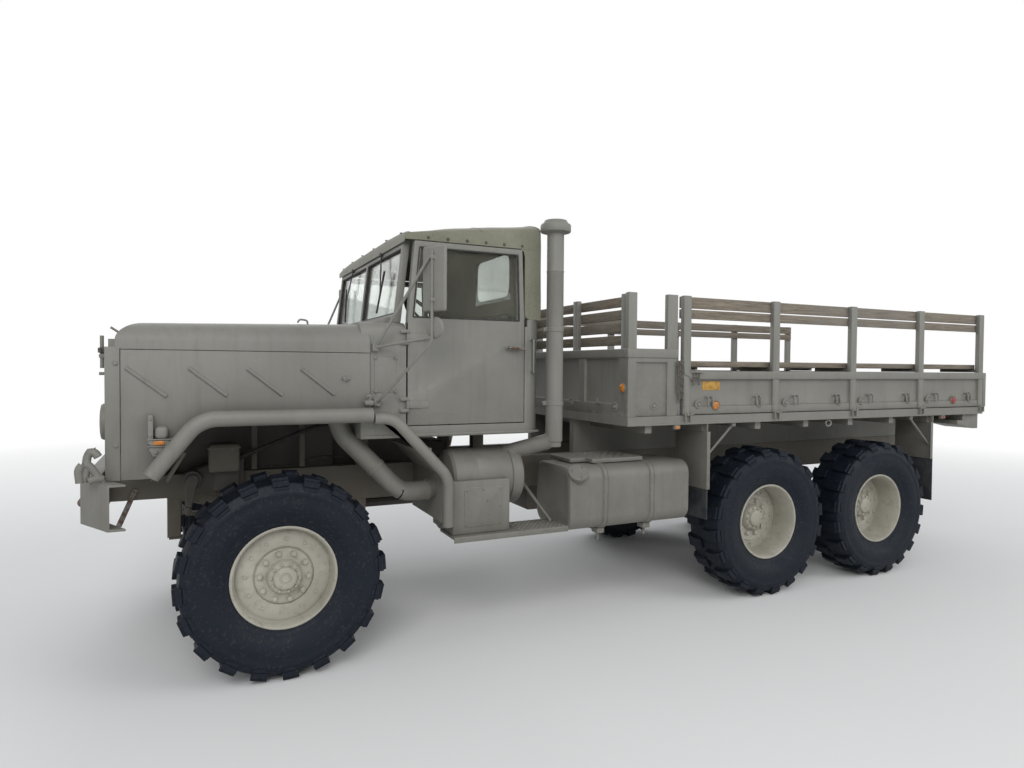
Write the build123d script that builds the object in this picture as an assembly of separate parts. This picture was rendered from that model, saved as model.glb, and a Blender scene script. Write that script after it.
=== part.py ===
from build123d import *
import math
import os

# Six-wheeled dropside cargo truck with a tilting hood and a canvas cab roof.
# Millimetres. X points forward, Y to the truck's left, Z up.
# The origin is on the ground, midway along the whole length, on the centreline.

os.makedirs("parts", exist_ok=True)

# Lengths along the truck, from the tow eyes at the front to the pintle at the rear
front_overhang = 1140
wheelbase = 3861
bogie_spread = 1372
rear_overhang = 1327
pintle_reach = 230
length = front_overhang + wheelbase + bogie_spread + rear_overhang + pintle_reach
front_axle = length / 2 - front_overhang
first_rear_axle = front_axle - wheelbase
second_rear_axle = first_rear_axle - bogie_spread
trunnion = (first_rear_axle + second_rear_axle) / 2
side = 1235
running_gap = 0.3
panel_gap = 6
sheet = 6
small_round = 8

# Tyres and wheels
tyre_radius = 616
tyre_width = 375
tread_depth = 24
lugs = 20
lug_taper = 0.02
shoulder_radius = 560
shoulder_width = 336
bulge_radius = 430
bulge_edge = 14
bead_width = 252
rim_width = 280
rim_radius = 312
rim_bore = 244
disc_offset = 70
disc_thickness = 14
hub_radius = 92
hub_length = 58
hub_cap_radius = 68
hub_cap_length = 26
hub_sides = 12
drum_radius = 204
drum_length = 90
drum_sides = 16
spindle_radius = 45
spindle_stop = 4
axle_height = tyre_radius * math.cos(math.pi / (2 * lugs))
front_track_half = 990
rear_track_half = 1050
front_disc = front_track_half + disc_offset
rear_disc = rear_track_half - disc_offset - disc_thickness

# Steering knuckles and the tie rod between their arms
kingpin_inset = 130
kingpin_side = front_track_half - kingpin_inset
kingpin_radius = 26
boss_radius = 62
boss_half = 92
yoke_gap = 3
yoke_thickness = 26
yoke_half = 55
yoke_plate = 28
yoke_top = axle_height + boss_half + yoke_gap
yoke_under = axle_height - boss_half - yoke_gap - yoke_thickness
arm_reach = 150
arm_half = 22
tie_rod_radius = 18
tie_rod_drop = 8
ball_radius = 14

# Axles
tube_radius = 72
front_diff_side = -170
diff_radius = 178
diff_width = 190
head_half = 140
head_rise = 60

# Springs
spring_middle = 394
spring_width = 76
leaf = 12
front_leaves = 6
rear_leaves = 7
front_spring_reach = 640
rear_spring_reach = bogie_spread / 2
spring_seat = axle_height + tube_radius
front_spring_top = spring_seat + front_leaves * leaf
rear_spring_top = spring_seat + rear_leaves * leaf
hanger_half = 34

# Frame
rail_outside = 432
rail_flange = 76
rail_wall = 10
rail_top = 1170
rail_height = 250
rail_bottom = rail_top - rail_height
horn_height = 150
horn_bottom = rail_top - horn_height
taper_start = front_axle + 640
taper_end = front_axle + 300
rail_rear = second_rear_axle - rear_overhang
member_length = 80
trunnion_member = 220
member_ahead = 731
member_behind = 717
web_inner = rail_outside - rail_wall
mount_half = 45

# Steering gear on the left rail
gear_front = front_axle + 400
gear_rear = front_axle + 190
gear_bottom = 1040
gear_top = 1296
gear_width = 118
pitman_x = front_axle + 500
pitman_z = 1150
pitman_housing = 58
pitman_width = 26
pitman_drop = 190

# Front bumper, with its tow eyes and shackles
tow_eye_radius = 26
tow_eye_reach = 75
tow_eye_half = 14
shackle_side = rail_outside - 5
shackle_z = 1034
shackle_bore = 16
shackle_arm = 12
shackle_drop = 92
shackle_half = 28
bumper_face = front_axle + front_overhang - tow_eye_reach
bumper_wall = 13
bumper_depth = 88
bumper_bottom = 1000
bumper_top = 1250
bumper_straight = 950
bumper_sweep = 155
rail_front = bumper_face - bumper_wall

# Engine, radiator and drive line
engine_half = 330
engine_front = front_axle + 600
engine_rear = front_axle - 440
engine_bottom = 1005
engine_top = 1900
radiator_front = front_axle + 760
radiator_rear = front_axle + 690
radiator_half = 430
radiator_top = 1960
gearbox_half = 230
gearbox_rear = front_axle - 1350
transfer_x = gearbox_rear - 950
transfer_half = 190
shaft_radius = 42
shaft_level = rail_top - 104
pintle_eye = 30
pintle_eye_inset = 54
pintle_half = 34
pintle_z = rail_top - rail_height / 2
pintle_end = rail_rear - pintle_reach

# Cab
cab_side = 1085
cab_front = front_axle - 462
cab_rear = front_axle - 1739
cab_bottom = 1425
cab_wall = 30
cab_floor = 1470
cab_corner = 80
cowl_top = 2176
cowl_shoulder = 85
cowl_crown_half = 620
belt = 2206
door_front = front_axle - 768
door_rear = front_axle - 1614
door_bottom = 1505
door_top = 2712
door_thickness = 55
door_bar = 40
screen_base = front_axle - 700
screen_top = front_axle - 763
dash_front = screen_base - 60
screen_half = cab_side - cowl_shoulder
screen_depth = 44
screen_post = 46
screen_sill = 62
roof_edge = 2722
screen_top_height = roof_edge - running_gap
roof_front_crown = 2840
roof_rear_crown = 2950
roof_side = cab_side - 20
roof_skirt = 40
canvas = 10

# Hood, hinged along its lower front edge
hood_front = front_axle + 930
hood_rear = cab_front + 14
hood_side = cab_side + 20
hood_floor = 1290
hood_frame_top = 1985
hood_nose = hood_front - 35
hood_nose_radius = 150
hood_crown = 2172
hood_fall = 40
hood_shoulder = 110
hood_crown_drop = 18
hood_crown_half = 620
shoulder_steps = 4
hood_lower_edge = 1606
hood_pivot_x = front_axle + 905
hood_pivot_z = 1304
hood_pin = 6
hood_hinge_side = 392
hood_ear_half = 14
grille_half = 640
grille_low = hood_floor + 60
grille_top = 1950
grille_edge = 25
grille_slots = 13
grille_slot_share = 0.36
guard_reach = 46
guard_bar = 9
rib_length = 235
rib_height = 5
lamp_side = 850
lamp_height = 1560
lamp_radius = 98
lamp_reach = 44
marker_x = front_axle + 662

# Fender edges, rolled out to the truck's side
lip_front_bottom = (front_axle + 709, hood_floor)
lip_front_corner = (front_axle + 463, hood_lower_edge)
lip_split = front_axle - 516
lip_height = 70
lip_round = 28
fender_top_end = (front_axle - 664, hood_lower_edge)
fender_corner = (front_axle - 1023, 1215)
fender_end = (front_axle - 1011, 850)
fender_wall = 10

# Cargo bed
cab_bed_gap = 654
bed_front = cab_rear - cab_bed_gap
bed_rear = rail_rear - 150
bed_wall = 42
sill_bottom = 1459
bed_floor_top = 1528
floor_thickness = 42
deck_height = 4
bearer_bottom = 1398
bearers = 8
bearer_width = 60
bearer_inset = 220
fixed_side_length = 512
dropside_front = bed_front - fixed_side_length
dropside_top = 1870
fixed_side_top = 2000
front_wall_top = 2034
stake_top = 2450
stake_width = 72
stake_depth = 42
stake_count = 5
stake_pitch = (dropside_front - bed_rear - panel_gap - stake_width) / (stake_count - 1)
stake_skin = 26
rail_inset = 12
bay_low = 62
bay_high = 65
slat_thickness = 22
slat_rows = ((2278, 2348), (2358, 2446))
front_slats = 4
seat_top = 1950
seat_thickness = 45
seat_board = 85
seat_board_gap = 8
seat_boards = 4
seat_inner = 800
bracket_half = 16
bracket_height = 30
front_rack_posts = (400, 1110)
front_post_half = 35
front_post_depth = 40
guard_inner = 850
front_guard_x = first_rear_axle + 711
rear_guard_x = second_rear_axle - 697
guard_sheet = 6
guard_flange = 30
brace_run = 290
brace_drop = 265
brace_radius = 11
brace_foot = 20
tail_reach = 330
tail_depth = 150

# Hinges of the dropsides, tailgate and doors
hinge_pin = 5
hinge_pin_sides = 6
hinge_reach = 14
hinge_ear = 9
hinge_ear_width = 12
hinge_half = 14
hinge_gap = 5
hinge_drop = 46
hinge_head = 8
pivot_height = bed_floor_top + 8
door_pivot_x = door_front + 4
door_pivot_y = cab_side + 15
door_hinge_heights = (1640, 2080)
door_pin = 5
door_barrel = 25
door_knuckle = 10
grab_inset = 52
grab_reach = 42
grab_low = 1850
grab_high = 2090
grab_radius = 9

# Pieces hung on the sides, between the fenders and the rear wheels
canister_front = front_axle - 1090
canister_rear = front_axle - 1640
canister_y = 860
canister_z = 1150
canister_radius = 165
stack_x = cab_rear - 83
stack_y = 1150
stack_radius = 60
stack_bottom = 1362
stack_top = 2850
stack_cap_radius = 108
exhaust_x = cab_rear - 131
exhaust_side = 1080
muffler_side = 760
muffler_z = 1100
tank_front = cab_rear + 49
tank_rear = first_rear_axle + 821
tank_inner = 640
tank_outer = 1165
tank_bottom = 700
tank_top = 1240
tank_corner = 120
strap_width = 52
strap_thickness = 8
strap_places = (0.42, 0.73)
filler_x = tank_front - 360
filler_radius = 62
plate_front = filler_x - 190
plate_length = 274
box_front = front_axle - 1075
box_rear = front_axle - 1482
step_out = 1190
step_z = 830
step_front = front_axle - 1060
step_rear = front_axle - 1580
step_plate = 30


def block(x0, x1, y0, y1, z0, z1):
    """A box between two opposite corners."""
    middle = Pos((x0 + x1) / 2, (y0 + y1) / 2, (z0 + z1) / 2)
    return middle * Box(abs(x1 - x0), abs(y1 - y0), abs(z1 - z0))


def across(outline, y0, y1):
    """An outline of (x, z) points carried across the truck from y0 to y1."""
    points = [(x, y0, z) for x, z in outline]
    face = make_face(Polyline(*points, close=True))
    return extrude(face, amount=abs(y1 - y0), dir=(0, math.copysign(1, y1 - y0), 0))


def along(outline, x0, x1):
    """An outline of (y, z) points carried along the truck from x0 to x1."""
    points = [(x0, y, z) for y, z in outline]
    face = make_face(Polyline(*points, close=True))
    return extrude(face, amount=abs(x1 - x0), dir=(math.copysign(1, x1 - x0), 0, 0))


def upward(outline, z0, z1):
    """An outline of (x, y) points carried up from z0 to z1."""
    points = [(x, y, z0) for x, y in outline]
    face = make_face(Polyline(*points, close=True))
    return extrude(face, amount=z1 - z0, dir=(0, 0, 1))


def rod(start, end, radius):
    """A round bar from one point to another."""
    way = Vector(*end) - Vector(*start)
    return extrude(Plane(origin=start, z_dir=way) * Circle(radius), way.length)


def bar(start, end, radius, sides=small_round):
    """A bar with flat sides from one point to another, for small round pieces."""
    way = Vector(*end) - Vector(*start)
    return extrude(Plane(origin=start, z_dir=way) * RegularPolygon(radius, sides), way.length)


def bar_hole(start, end, radius, sides=small_round):
    """The space in which a round pin of the radius turns inside flat walls."""
    return bar(start, end, (radius + running_gap) / math.cos(math.pi / sides), sides)


def quarter(centre, radius, start, steps):
    """Points along a quarter circle in short straight steps, from the start angle in degrees."""
    angles = [math.radians(start + 90 * step / steps) for step in range(steps + 1)]
    return [(centre[0] + radius * math.cos(angle), centre[1] + radius * math.sin(angle)) for angle in angles]


def rounded(a0, a1, b0, b1, corner, steps=3):
    """Points round a rectangle with its corners rounded off in short straight steps."""
    low_a, high_a, low_b, high_b = a0 + corner, a1 - corner, b0 + corner, b1 - corner
    points = quarter((high_a, high_b), corner, 0, steps) + quarter((low_a, high_b), corner, 90, steps)
    return points + quarter((low_a, low_b), corner, 180, steps) + quarter((high_a, low_b), corner, 270, steps)


def other_side(shape):
    """The same piece on the truck's right."""
    return mirror(shape, about=Plane.XZ)


def both_sides(shape):
    """A piece on the left and its mirror image on the right."""
    return [shape, other_side(shape)]


def save(node, *solids):
    """One file per sub-part, with all of its solids."""
    whole = []
    for shape in solids:
        whole.extend(shape.solids())
    export_step(Compound(children=whole), f"parts/{node}.step")


def crowned_section(x, half, low, shoulder_low, shoulder, crown, crown_half):
    """A section across the truck: upright sides, round shoulders and a slightly crowned top."""
    left = [(half, low)] + quarter((half - shoulder, shoulder_low), shoulder, 0, shoulder_steps)
    left.append((crown_half, crown))
    right = [(-y, z) for y, z in reversed(left)]
    return make_face(Polyline(*[(x, y, z) for y, z in left + right], close=True))


def drawn(section, run, rise):
    """A section carried along the truck by run while it rises."""
    way = Vector(run, 0, rise)
    return extrude(section, amount=way.length, dir=way.normalized())


def wheel_plane(y):
    """A plane across the wheel's axis, y outboard of the wheel's middle."""
    return Plane(origin=(0, y, 0), x_dir=(1, 0, 0), z_dir=(0, 1, 0))


def round_plate(radius, y0, y1, sides):
    """A many-sided disc about the wheel's axis."""
    return extrude(wheel_plane(y0) * RegularPolygon(radius, sides), y1 - y0)


def coned(radius0, y0, radius1, y1, sides):
    """A many-sided cone about the wheel's axis, with flat faces."""
    rings = []
    for radius, y in ((radius0, y0), (radius1, y1)):
        angles = [2 * math.pi * number / sides for number in range(sides)]
        rings.append([(radius * math.cos(angle), y, radius * math.sin(angle)) for angle in angles])
    faces = [make_face(Polyline(*ring, close=True)).face() for ring in rings]
    first, second = rings
    for number in range(sides):
        after = (number + 1) % sides
        quad = Polyline(first[number], first[after], second[after], second[number], close=True)
        faces.append(make_face(quad).face())
    return Solid(Shell(faces))


def lug_ring(y0, y1, shift):
    """Half of the tread: lugs as wide as the gaps between them, shifted by a part of their pitch."""
    outline = []
    half_lug = math.pi / (2 * lugs)
    for number in range(lugs):
        middle = (number + shift) * 2 * math.pi / lugs - math.pi / 2
        for angle, radius in (
            (-half_lug - lug_taper, tyre_radius - tread_depth),
            (-half_lug, tyre_radius),
            (half_lug, tyre_radius),
            (half_lug + lug_taper, tyre_radius - tread_depth),
        ):
            outline.append((radius * math.cos(middle + angle), radius * math.sin(middle + angle)))
    return across(outline, y0, y1)


def tyre():
    """A single tyre about the origin, its outer side towards +Y."""
    half_tread = shoulder_width / 2
    half_width = tyre_width / 2
    solid = lug_ring(0, half_tread, 0) + lug_ring(-half_tread, 0, 0.5)
    solid += coned(shoulder_radius, half_tread, bulge_radius, half_width, lugs)
    solid += coned(bulge_radius, -half_width, shoulder_radius, -half_tread, lugs)
    seat = rim_radius + running_gap / math.cos(math.pi / lugs)
    solid -= round_plate(seat, -half_width, half_width, lugs)
    solid -= coned(seat, bead_width / 2, bulge_radius - bulge_edge, half_width, lugs)
    solid -= coned(bulge_radius - bulge_edge, -half_width, seat, -bead_width / 2, lugs)
    return solid


def wheel(dish):
    """Rim, disc, hub and brake drum about the origin; dish is 1 with the disc outboard and -1 inboard."""
    half_rim = rim_width / 2
    solid = round_plate(rim_radius, -half_rim, half_rim, lugs)
    solid -= round_plate(rim_bore, -half_rim, half_rim, lugs)
    disc_inner = disc_offset if dish > 0 else -disc_offset - disc_thickness
    disc_outer = disc_inner + disc_thickness
    solid += round_plate(rim_bore + 2, disc_inner, disc_outer, lugs)
    hub_end = disc_outer + hub_length
    solid += round_plate(hub_radius, disc_outer, hub_end, hub_sides)
    solid += round_plate(hub_cap_radius, hub_end, hub_end + hub_cap_length, hub_sides)
    drum_start = disc_inner - drum_length
    solid += round_plate(drum_radius, drum_start, disc_inner, drum_sides)
    solid -= bar_hole((0, drum_start, 0), (0, disc_outer + hub_length / 2, 0), spindle_radius, hub_sides)
    return solid


def wheels():
    """Six single wheels, the front pair with the disc outboard and the rear ones dished."""
    table = (
        # name, axle, side of the wheel's middle, dish
        ("front", front_axle, front_track_half, 1),
        ("middle", first_rear_axle, rear_track_half, -1),
        ("rear", second_rear_axle, rear_track_half, -1),
    )
    plain_tyre = tyre()
    for name, axle, middle, dish in table:
        left_tyre = Pos(axle, middle, axle_height) * plain_tyre
        left_wheel = Pos(axle, middle, axle_height) * wheel(dish)
        save(f"tyre_{name}_left", left_tyre)
        save(f"tyre_{name}_right", other_side(left_tyre))
        save(f"wheel_{name}_left", left_wheel)
        save(f"wheel_{name}_right", other_side(left_wheel))


def knuckles():
    """Steering knuckles that turn on the kingpins at the ends of the front axle."""
    x0, x1 = front_axle - yoke_half, front_axle + yoke_half
    top_end = yoke_top + yoke_thickness
    plate = kingpin_side + boss_radius + tie_rod_drop
    solid = block(x0, x1, plate, plate + yoke_plate, yoke_under, top_end)
    for low in (yoke_top, yoke_under):
        foot, head = (front_axle, kingpin_side, low), (front_axle, kingpin_side, low + yoke_thickness)
        solid += bar(foot, head, boss_radius, hub_sides)
        solid += block(x0, x1, kingpin_side, plate + 1, low, low + yoke_thickness)
    spindle_end = front_disc + disc_thickness + hub_length / 2 - spindle_stop
    spindle = (front_axle, plate + yoke_plate - 1, axle_height), (front_axle, spindle_end, axle_height)
    solid += rod(*spindle, spindle_radius)
    arm_x = front_axle - arm_reach
    arm_top = yoke_under + yoke_thickness
    solid += block(arm_x, front_axle, kingpin_side - arm_half, kingpin_side + arm_half, yoke_under, arm_top)
    solid += bar((arm_x, kingpin_side, yoke_under), (arm_x, kingpin_side, arm_top), arm_half + 2, small_round)
    kingpin = (front_axle, kingpin_side, yoke_under - 1), (front_axle, kingpin_side, top_end + 1)
    solid -= bar_hole(*kingpin, kingpin_radius)
    solid -= bar_hole((arm_x, kingpin_side, yoke_under - 1), (arm_x, kingpin_side, arm_top + 1), ball_radius)
    save("knuckle_left", solid)
    save("knuckle_right", other_side(solid))

    # Tie rod under the arms, with a stud up through each arm's eye.
    rod_z = yoke_under - tie_rod_drop - tie_rod_radius
    reach = kingpin_side + ball_radius + 2
    link = bar((arm_x, -reach, rod_z), (arm_x, reach, rod_z), tie_rod_radius, small_round)
    link += rod((arm_x, kingpin_side, rod_z), (arm_x, kingpin_side, arm_top + tie_rod_drop), ball_radius)
    link += bar((arm_x, -kingpin_side, rod_z), (arm_x, -kingpin_side, arm_top + tie_rod_drop), ball_radius)
    save("tie_rod", link)


def axle_housing(x, reach, diff_side):
    """A housing tube with its bowl and the drive head on top of it."""
    solid = bar((x, -reach, axle_height), (x, reach, axle_height), tube_radius, hub_sides)
    bowl = [(x, diff_side + off, axle_height) for off in (-diff_width / 2, diff_width / 2)]
    solid += bar(*bowl, diff_radius, drum_sides)
    y0, y1 = diff_side - diff_width / 2 + 3, diff_side + diff_width / 2 - 3
    solid += block(x - head_half, x + head_half, y0, y1, axle_height, axle_height + diff_radius + head_rise)
    return solid


def axles():
    """The steered front axle with its kingpin bosses, and the two rear axles."""
    solid = axle_housing(front_axle, kingpin_side - boss_radius / 2, front_diff_side)
    pin_half = boss_half + yoke_gap + yoke_thickness
    for y in (kingpin_side, -kingpin_side):
        boss = [(front_axle, y, axle_height + off) for off in (-boss_half, boss_half)]
        solid += bar(*boss, boss_radius, hub_sides)
        solid += bar((front_axle, y, axle_height - pin_half), (front_axle, y, axle_height), kingpin_radius)
        solid += rod((front_axle, y, axle_height), (front_axle, y, axle_height + pin_half), kingpin_radius)
    save("front_axle", solid)
    drive = []
    drum_inner = rear_disc - drum_length
    spindle_end = rear_disc + disc_thickness + hub_length / 2 - spindle_stop
    for axle in (first_rear_axle, second_rear_axle):
        housing = axle_housing(axle, drum_inner - panel_gap, 0)
        for way in (1, -1):
            start, end = way * (drum_inner - 2 * panel_gap), way * spindle_end
            housing += rod((axle, start, axle_height), (axle, end, axle_height), spindle_radius)
        drive.append(housing)
    save("rear_axles", *drive)


def leaf_pack(x, reach, leaves, seat, upward_way):
    """A stack of leaves, longest first, each one shorter than the last."""
    steps = []
    for number in range(leaves):
        half = reach * (1 - number / (leaves + 1))
        steps.append((half, seat + upward_way * number * leaf))
        steps.append((half, seat + upward_way * (number + 1) * leaf))
    outline = [(x + half, z) for half, z in steps] + [(x - half, z) for half, z in reversed(steps)]
    return across(outline, spring_middle - spring_width / 2, spring_middle + spring_width / 2)


def springs():
    """Front springs over the axle, and the rear ones rocking on the trunnion."""
    front = leaf_pack(front_axle, front_spring_reach, front_leaves, front_spring_top, -1)
    rear = leaf_pack(trunnion, rear_spring_reach, rear_leaves, spring_seat, 1)
    save("springs", *both_sides(front), *both_sides(rear))


def chassis_frame():
    """Two channel rails joined by crossmembers, with spring hangers, cab mounts and the pintle."""
    outline = [
        (rail_front, rail_top),
        (rail_front, horn_bottom),
        (taper_start, horn_bottom),
        (taper_end, rail_bottom),
        (rail_rear, rail_bottom),
        (rail_rear, rail_top),
    ]
    rail = across(outline, rail_outside - rail_flange, rail_outside)
    hollow = [
        (rail_front + 1, rail_top - rail_wall),
        (rail_front + 1, horn_bottom + rail_wall),
        (taper_start, horn_bottom + rail_wall),
        (taper_end, rail_bottom + rail_wall),
        (rail_rear - 1, rail_bottom + rail_wall),
        (rail_rear - 1, rail_top - rail_wall),
    ]
    rail -= across(hollow, rail_outside - rail_flange - 1, web_inner)
    frame = rail + other_side(rail)
    crossmembers = (
        # place along X, length, height of its lower and upper side
        (radiator_rear, member_length, horn_bottom + rail_wall, rail_top),
        (front_axle - 560, member_length, rail_bottom, rail_top - 170),
        (transfer_x + transfer_half + 60, member_length, rail_bottom, rail_top - 180),
        (first_rear_axle + member_ahead, member_length, rail_bottom, rail_top),
        (trunnion, trunnion_member, rail_bottom, rail_top),
        (second_rear_axle - member_behind, member_length, rail_bottom, rail_top),
        (rail_rear + member_length / 2, member_length, rail_bottom, rail_top),
    )
    for x, long, z0, z1 in crossmembers:
        frame += block(x - long / 2, x + long / 2, -web_inner, web_inner, z0, z1)
    for way in (1, -1):
        y0 = way * (spring_middle - hanger_half)
        y1 = way * (spring_middle + hanger_half)
        for end in (1, -1):
            x = front_axle + end * (front_spring_reach - 30)
            frame += block(x - 40, x + 40, y0, y1, front_spring_top, rail_top - rail_height / 2)
        frame += block(trunnion - 95, trunnion + 95, y0, y1, rear_spring_top, rail_bottom + 5)
        for x in (cab_front - 160, cab_rear + 200):
            y0, y1 = way * (rail_outside - rail_flange), way * rail_outside
            frame += block(x - mount_half, x + mount_half, y0, y1, rail_top - 5, cab_bottom)
        for x in (front_axle + 330, front_axle - 330):
            z0 = rail_bottom + 120
            frame += block(x - 40, x + 40, way * engine_half, way * (web_inner + 5), z0, z0 + 60)
        # The hood's hinge pin between its two ears on the rail's horn.
        ear_in, ear_out = hood_ear_half + hinge_gap, hood_ear_half + hinge_gap + hinge_ear_width
        x = hood_pivot_x
        pin_ends = [(x, way * (hood_hinge_side + off), hood_pivot_z) for off in (-ear_out, ear_out)]
        frame += rod(*pin_ends, hood_pin) if way > 0 else bar(*pin_ends, hood_pin)
        for inner_off, outer_off in ((-ear_out, -ear_in), (ear_in, ear_out)):
            y0, y1 = way * (hood_hinge_side + inner_off), way * (hood_hinge_side + outer_off)
            frame += block(x - 40, x + 14, y0, y1, rail_top - 2, hood_pivot_z + 14)
    frame += block(rail_rear - 24, rail_rear, -110, 110, pintle_z - 70, pintle_z + 70)
    save("chassis_frame", frame)
    jaw = block(pintle_end, pintle_end + 120, -pintle_half, pintle_half, pintle_z - 62, pintle_z + 62)
    eye_x = pintle_end + pintle_eye_inset
    jaw -= rod((eye_x, -pintle_half - 1, pintle_z), (eye_x, pintle_half + 1, pintle_z), pintle_eye)
    jaw += bar((rail_rear - 24, 0, pintle_z), (pintle_end + 119, 0, pintle_z), 32)
    save("pintle", jaw)


def steering_gear():
    """Steering box on the outside of the left rail, with its output shaft's housing and the drop arm."""
    face = rail_outside + gear_width
    outline = [
        (gear_rear, gear_bottom + 40),
        (gear_rear, gear_top),
        (gear_front - 40, gear_top),
        (gear_front, gear_top - 60),
        (pitman_x, pitman_z + pitman_housing - 4),
        (pitman_x, pitman_z - pitman_housing + 4),
        (gear_front, gear_bottom),
        (gear_rear + 40, gear_bottom),
    ]
    gear = across(outline, rail_outside, face - 30)
    gear += block(gear_rear + 30, gear_front - 30, face - 31, face, gear_bottom + 30, gear_top - 40)
    gear += bar((pitman_x, rail_outside, pitman_z), (pitman_x, face + 20, pitman_z), pitman_housing, hub_sides)
    y0, y1 = face + 19, face + 19 + pitman_width
    low = pitman_z - pitman_drop
    arm = [(pitman_x - 34, pitman_z), (pitman_x + 34, pitman_z), (pitman_x + 48, low), (pitman_x + 8, low)]
    gear += across(arm, y0, y1)
    gear += bar((pitman_x, y0, pitman_z), (pitman_x, y1, pitman_z), 40)
    gear += bar((pitman_x + 28, y0, low), (pitman_x + 28, y1 + 14, low), 26)
    save("steering_box", gear)


def front_bumper():
    """A channel with swept ends, its tow eyes through the face, and a shackle hanging in each eye."""
    back = bumper_face - bumper_depth
    face = [
        (bumper_face, 0),
        (bumper_face, bumper_straight),
        (bumper_face - bumper_sweep, side),
        (back - bumper_sweep, side),
        (back, bumper_straight - 20),
        (back, 0),
    ]
    hollow = [(x - bumper_wall, y) for x, y in face[:2]]
    hollow += [(face[2][0] - bumper_wall, side + 1), (back - bumper_sweep - 33, side + 1)]
    hollow += [(back - 33, bumper_straight - 20), (back - 33, 0)]
    solid = upward(face, bumper_bottom, bumper_top)
    solid -= upward(hollow, bumper_bottom + bumper_wall, bumper_top - bumper_wall)
    bow_x = front_axle + front_overhang - tow_eye_radius
    y0, y1 = shackle_side - tow_eye_half, shackle_side + tow_eye_half
    z0, z1 = shackle_z - tow_eye_radius, shackle_z + tow_eye_radius
    solid += block(bumper_face - 1, bow_x, y0, y1, z0, z1)
    solid += rod((bow_x, y0, shackle_z), (bow_x, y1, shackle_z), tow_eye_radius)
    # The shackle's pin bears on the eye all round, as it has no joint.
    solid -= bar((bow_x, y0 - 1, shackle_z), (bow_x, y1 + 1, shackle_z), shackle_bore)
    save("front_bumper", solid + other_side(solid))
    low = shackle_z - shackle_drop
    ends = [(bow_x, shackle_side + off, shackle_z) for off in (-shackle_half - 6, shackle_half + 6)]
    bow = bar(*ends, shackle_bore)
    for y in (shackle_side - shackle_half, shackle_side + shackle_half):
        bow += bar((bow_x, y, shackle_z), (bow_x, y, low - shackle_arm / 2), shackle_arm)
    bow += bar((bow_x, shackle_side - shackle_half, low), (bow_x, shackle_side + shackle_half, low), shackle_arm)
    save("tow_shackles", *both_sides(bow))


def power_train():
    """Engine as one plain block, gearbox and transfer case behind it, radiator ahead of it."""
    save("engine", block(engine_rear, engine_front, -engine_half, engine_half, engine_bottom, engine_top))
    outline = [
        (engine_rear - 1, engine_bottom + 20),
        (engine_rear - 1, engine_bottom + 370),
        (engine_rear - 260, cab_bottom - 60),
        (gearbox_rear, cab_bottom - 130),
        (gearbox_rear, engine_bottom + 40),
    ]
    box = across(outline, -gearbox_half, gearbox_half)
    case = block(transfer_x - transfer_half, transfer_x + transfer_half, -300, 170, 660, rail_bottom)
    case += block(transfer_x - 130, transfer_x + 130, -300, 170, rail_bottom - 1, rail_top - 60)
    save("transmission", box, case)
    core = block(radiator_rear, radiator_front, -radiator_half, radiator_half, rail_top, radiator_top)
    tank_half = radiator_half + 15
    core += block(radiator_rear - 20, radiator_front + 20, -tank_half, tank_half, radiator_top - 80, radiator_top)
    save("radiator", core)


def propshafts():
    """Drive shafts from gearbox to transfer case and on to the three axles."""
    case_front = transfer_x + transfer_half
    case_rear = transfer_x - transfer_half
    head = axle_height + diff_radius - 20
    save(
        "propshafts",
        bar((gearbox_rear, 0, shaft_level), (transfer_x + 130, 0, shaft_level), shaft_radius),
        bar((case_front, front_diff_side, head), (front_axle - head_half, front_diff_side, head), shaft_radius),
        bar((case_rear, 0, head), (first_rear_axle + head_half, 0, head), shaft_radius),
        bar((first_rear_axle - head_half, 0, head), (second_rear_axle + head_half, 0, head), shaft_radius),
    )


def rolled_lip(path, y0):
    """A fender's edge rolled out to the truck's side and turned down along a path of (x, z) points."""
    route = Polyline(*[(x, y0, z + sheet) for x, z in path])
    reach = side - y0
    outline = [
        (0, 0),
        (reach - lip_round, 0),
        (reach, lip_round),
        (reach, lip_height),
        (reach - sheet, lip_height),
        (reach - sheet, lip_round + 2),
        (reach - lip_round - 2, sheet),
        (0, sheet),
    ]
    start = Plane(origin=route @ 0, x_dir=(0, 1, 0), z_dir=route % 0)
    profile = start * make_face(Polyline(*outline, close=True))
    return sweep(profile, path=route, transition=Transition.RIGHT)


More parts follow.
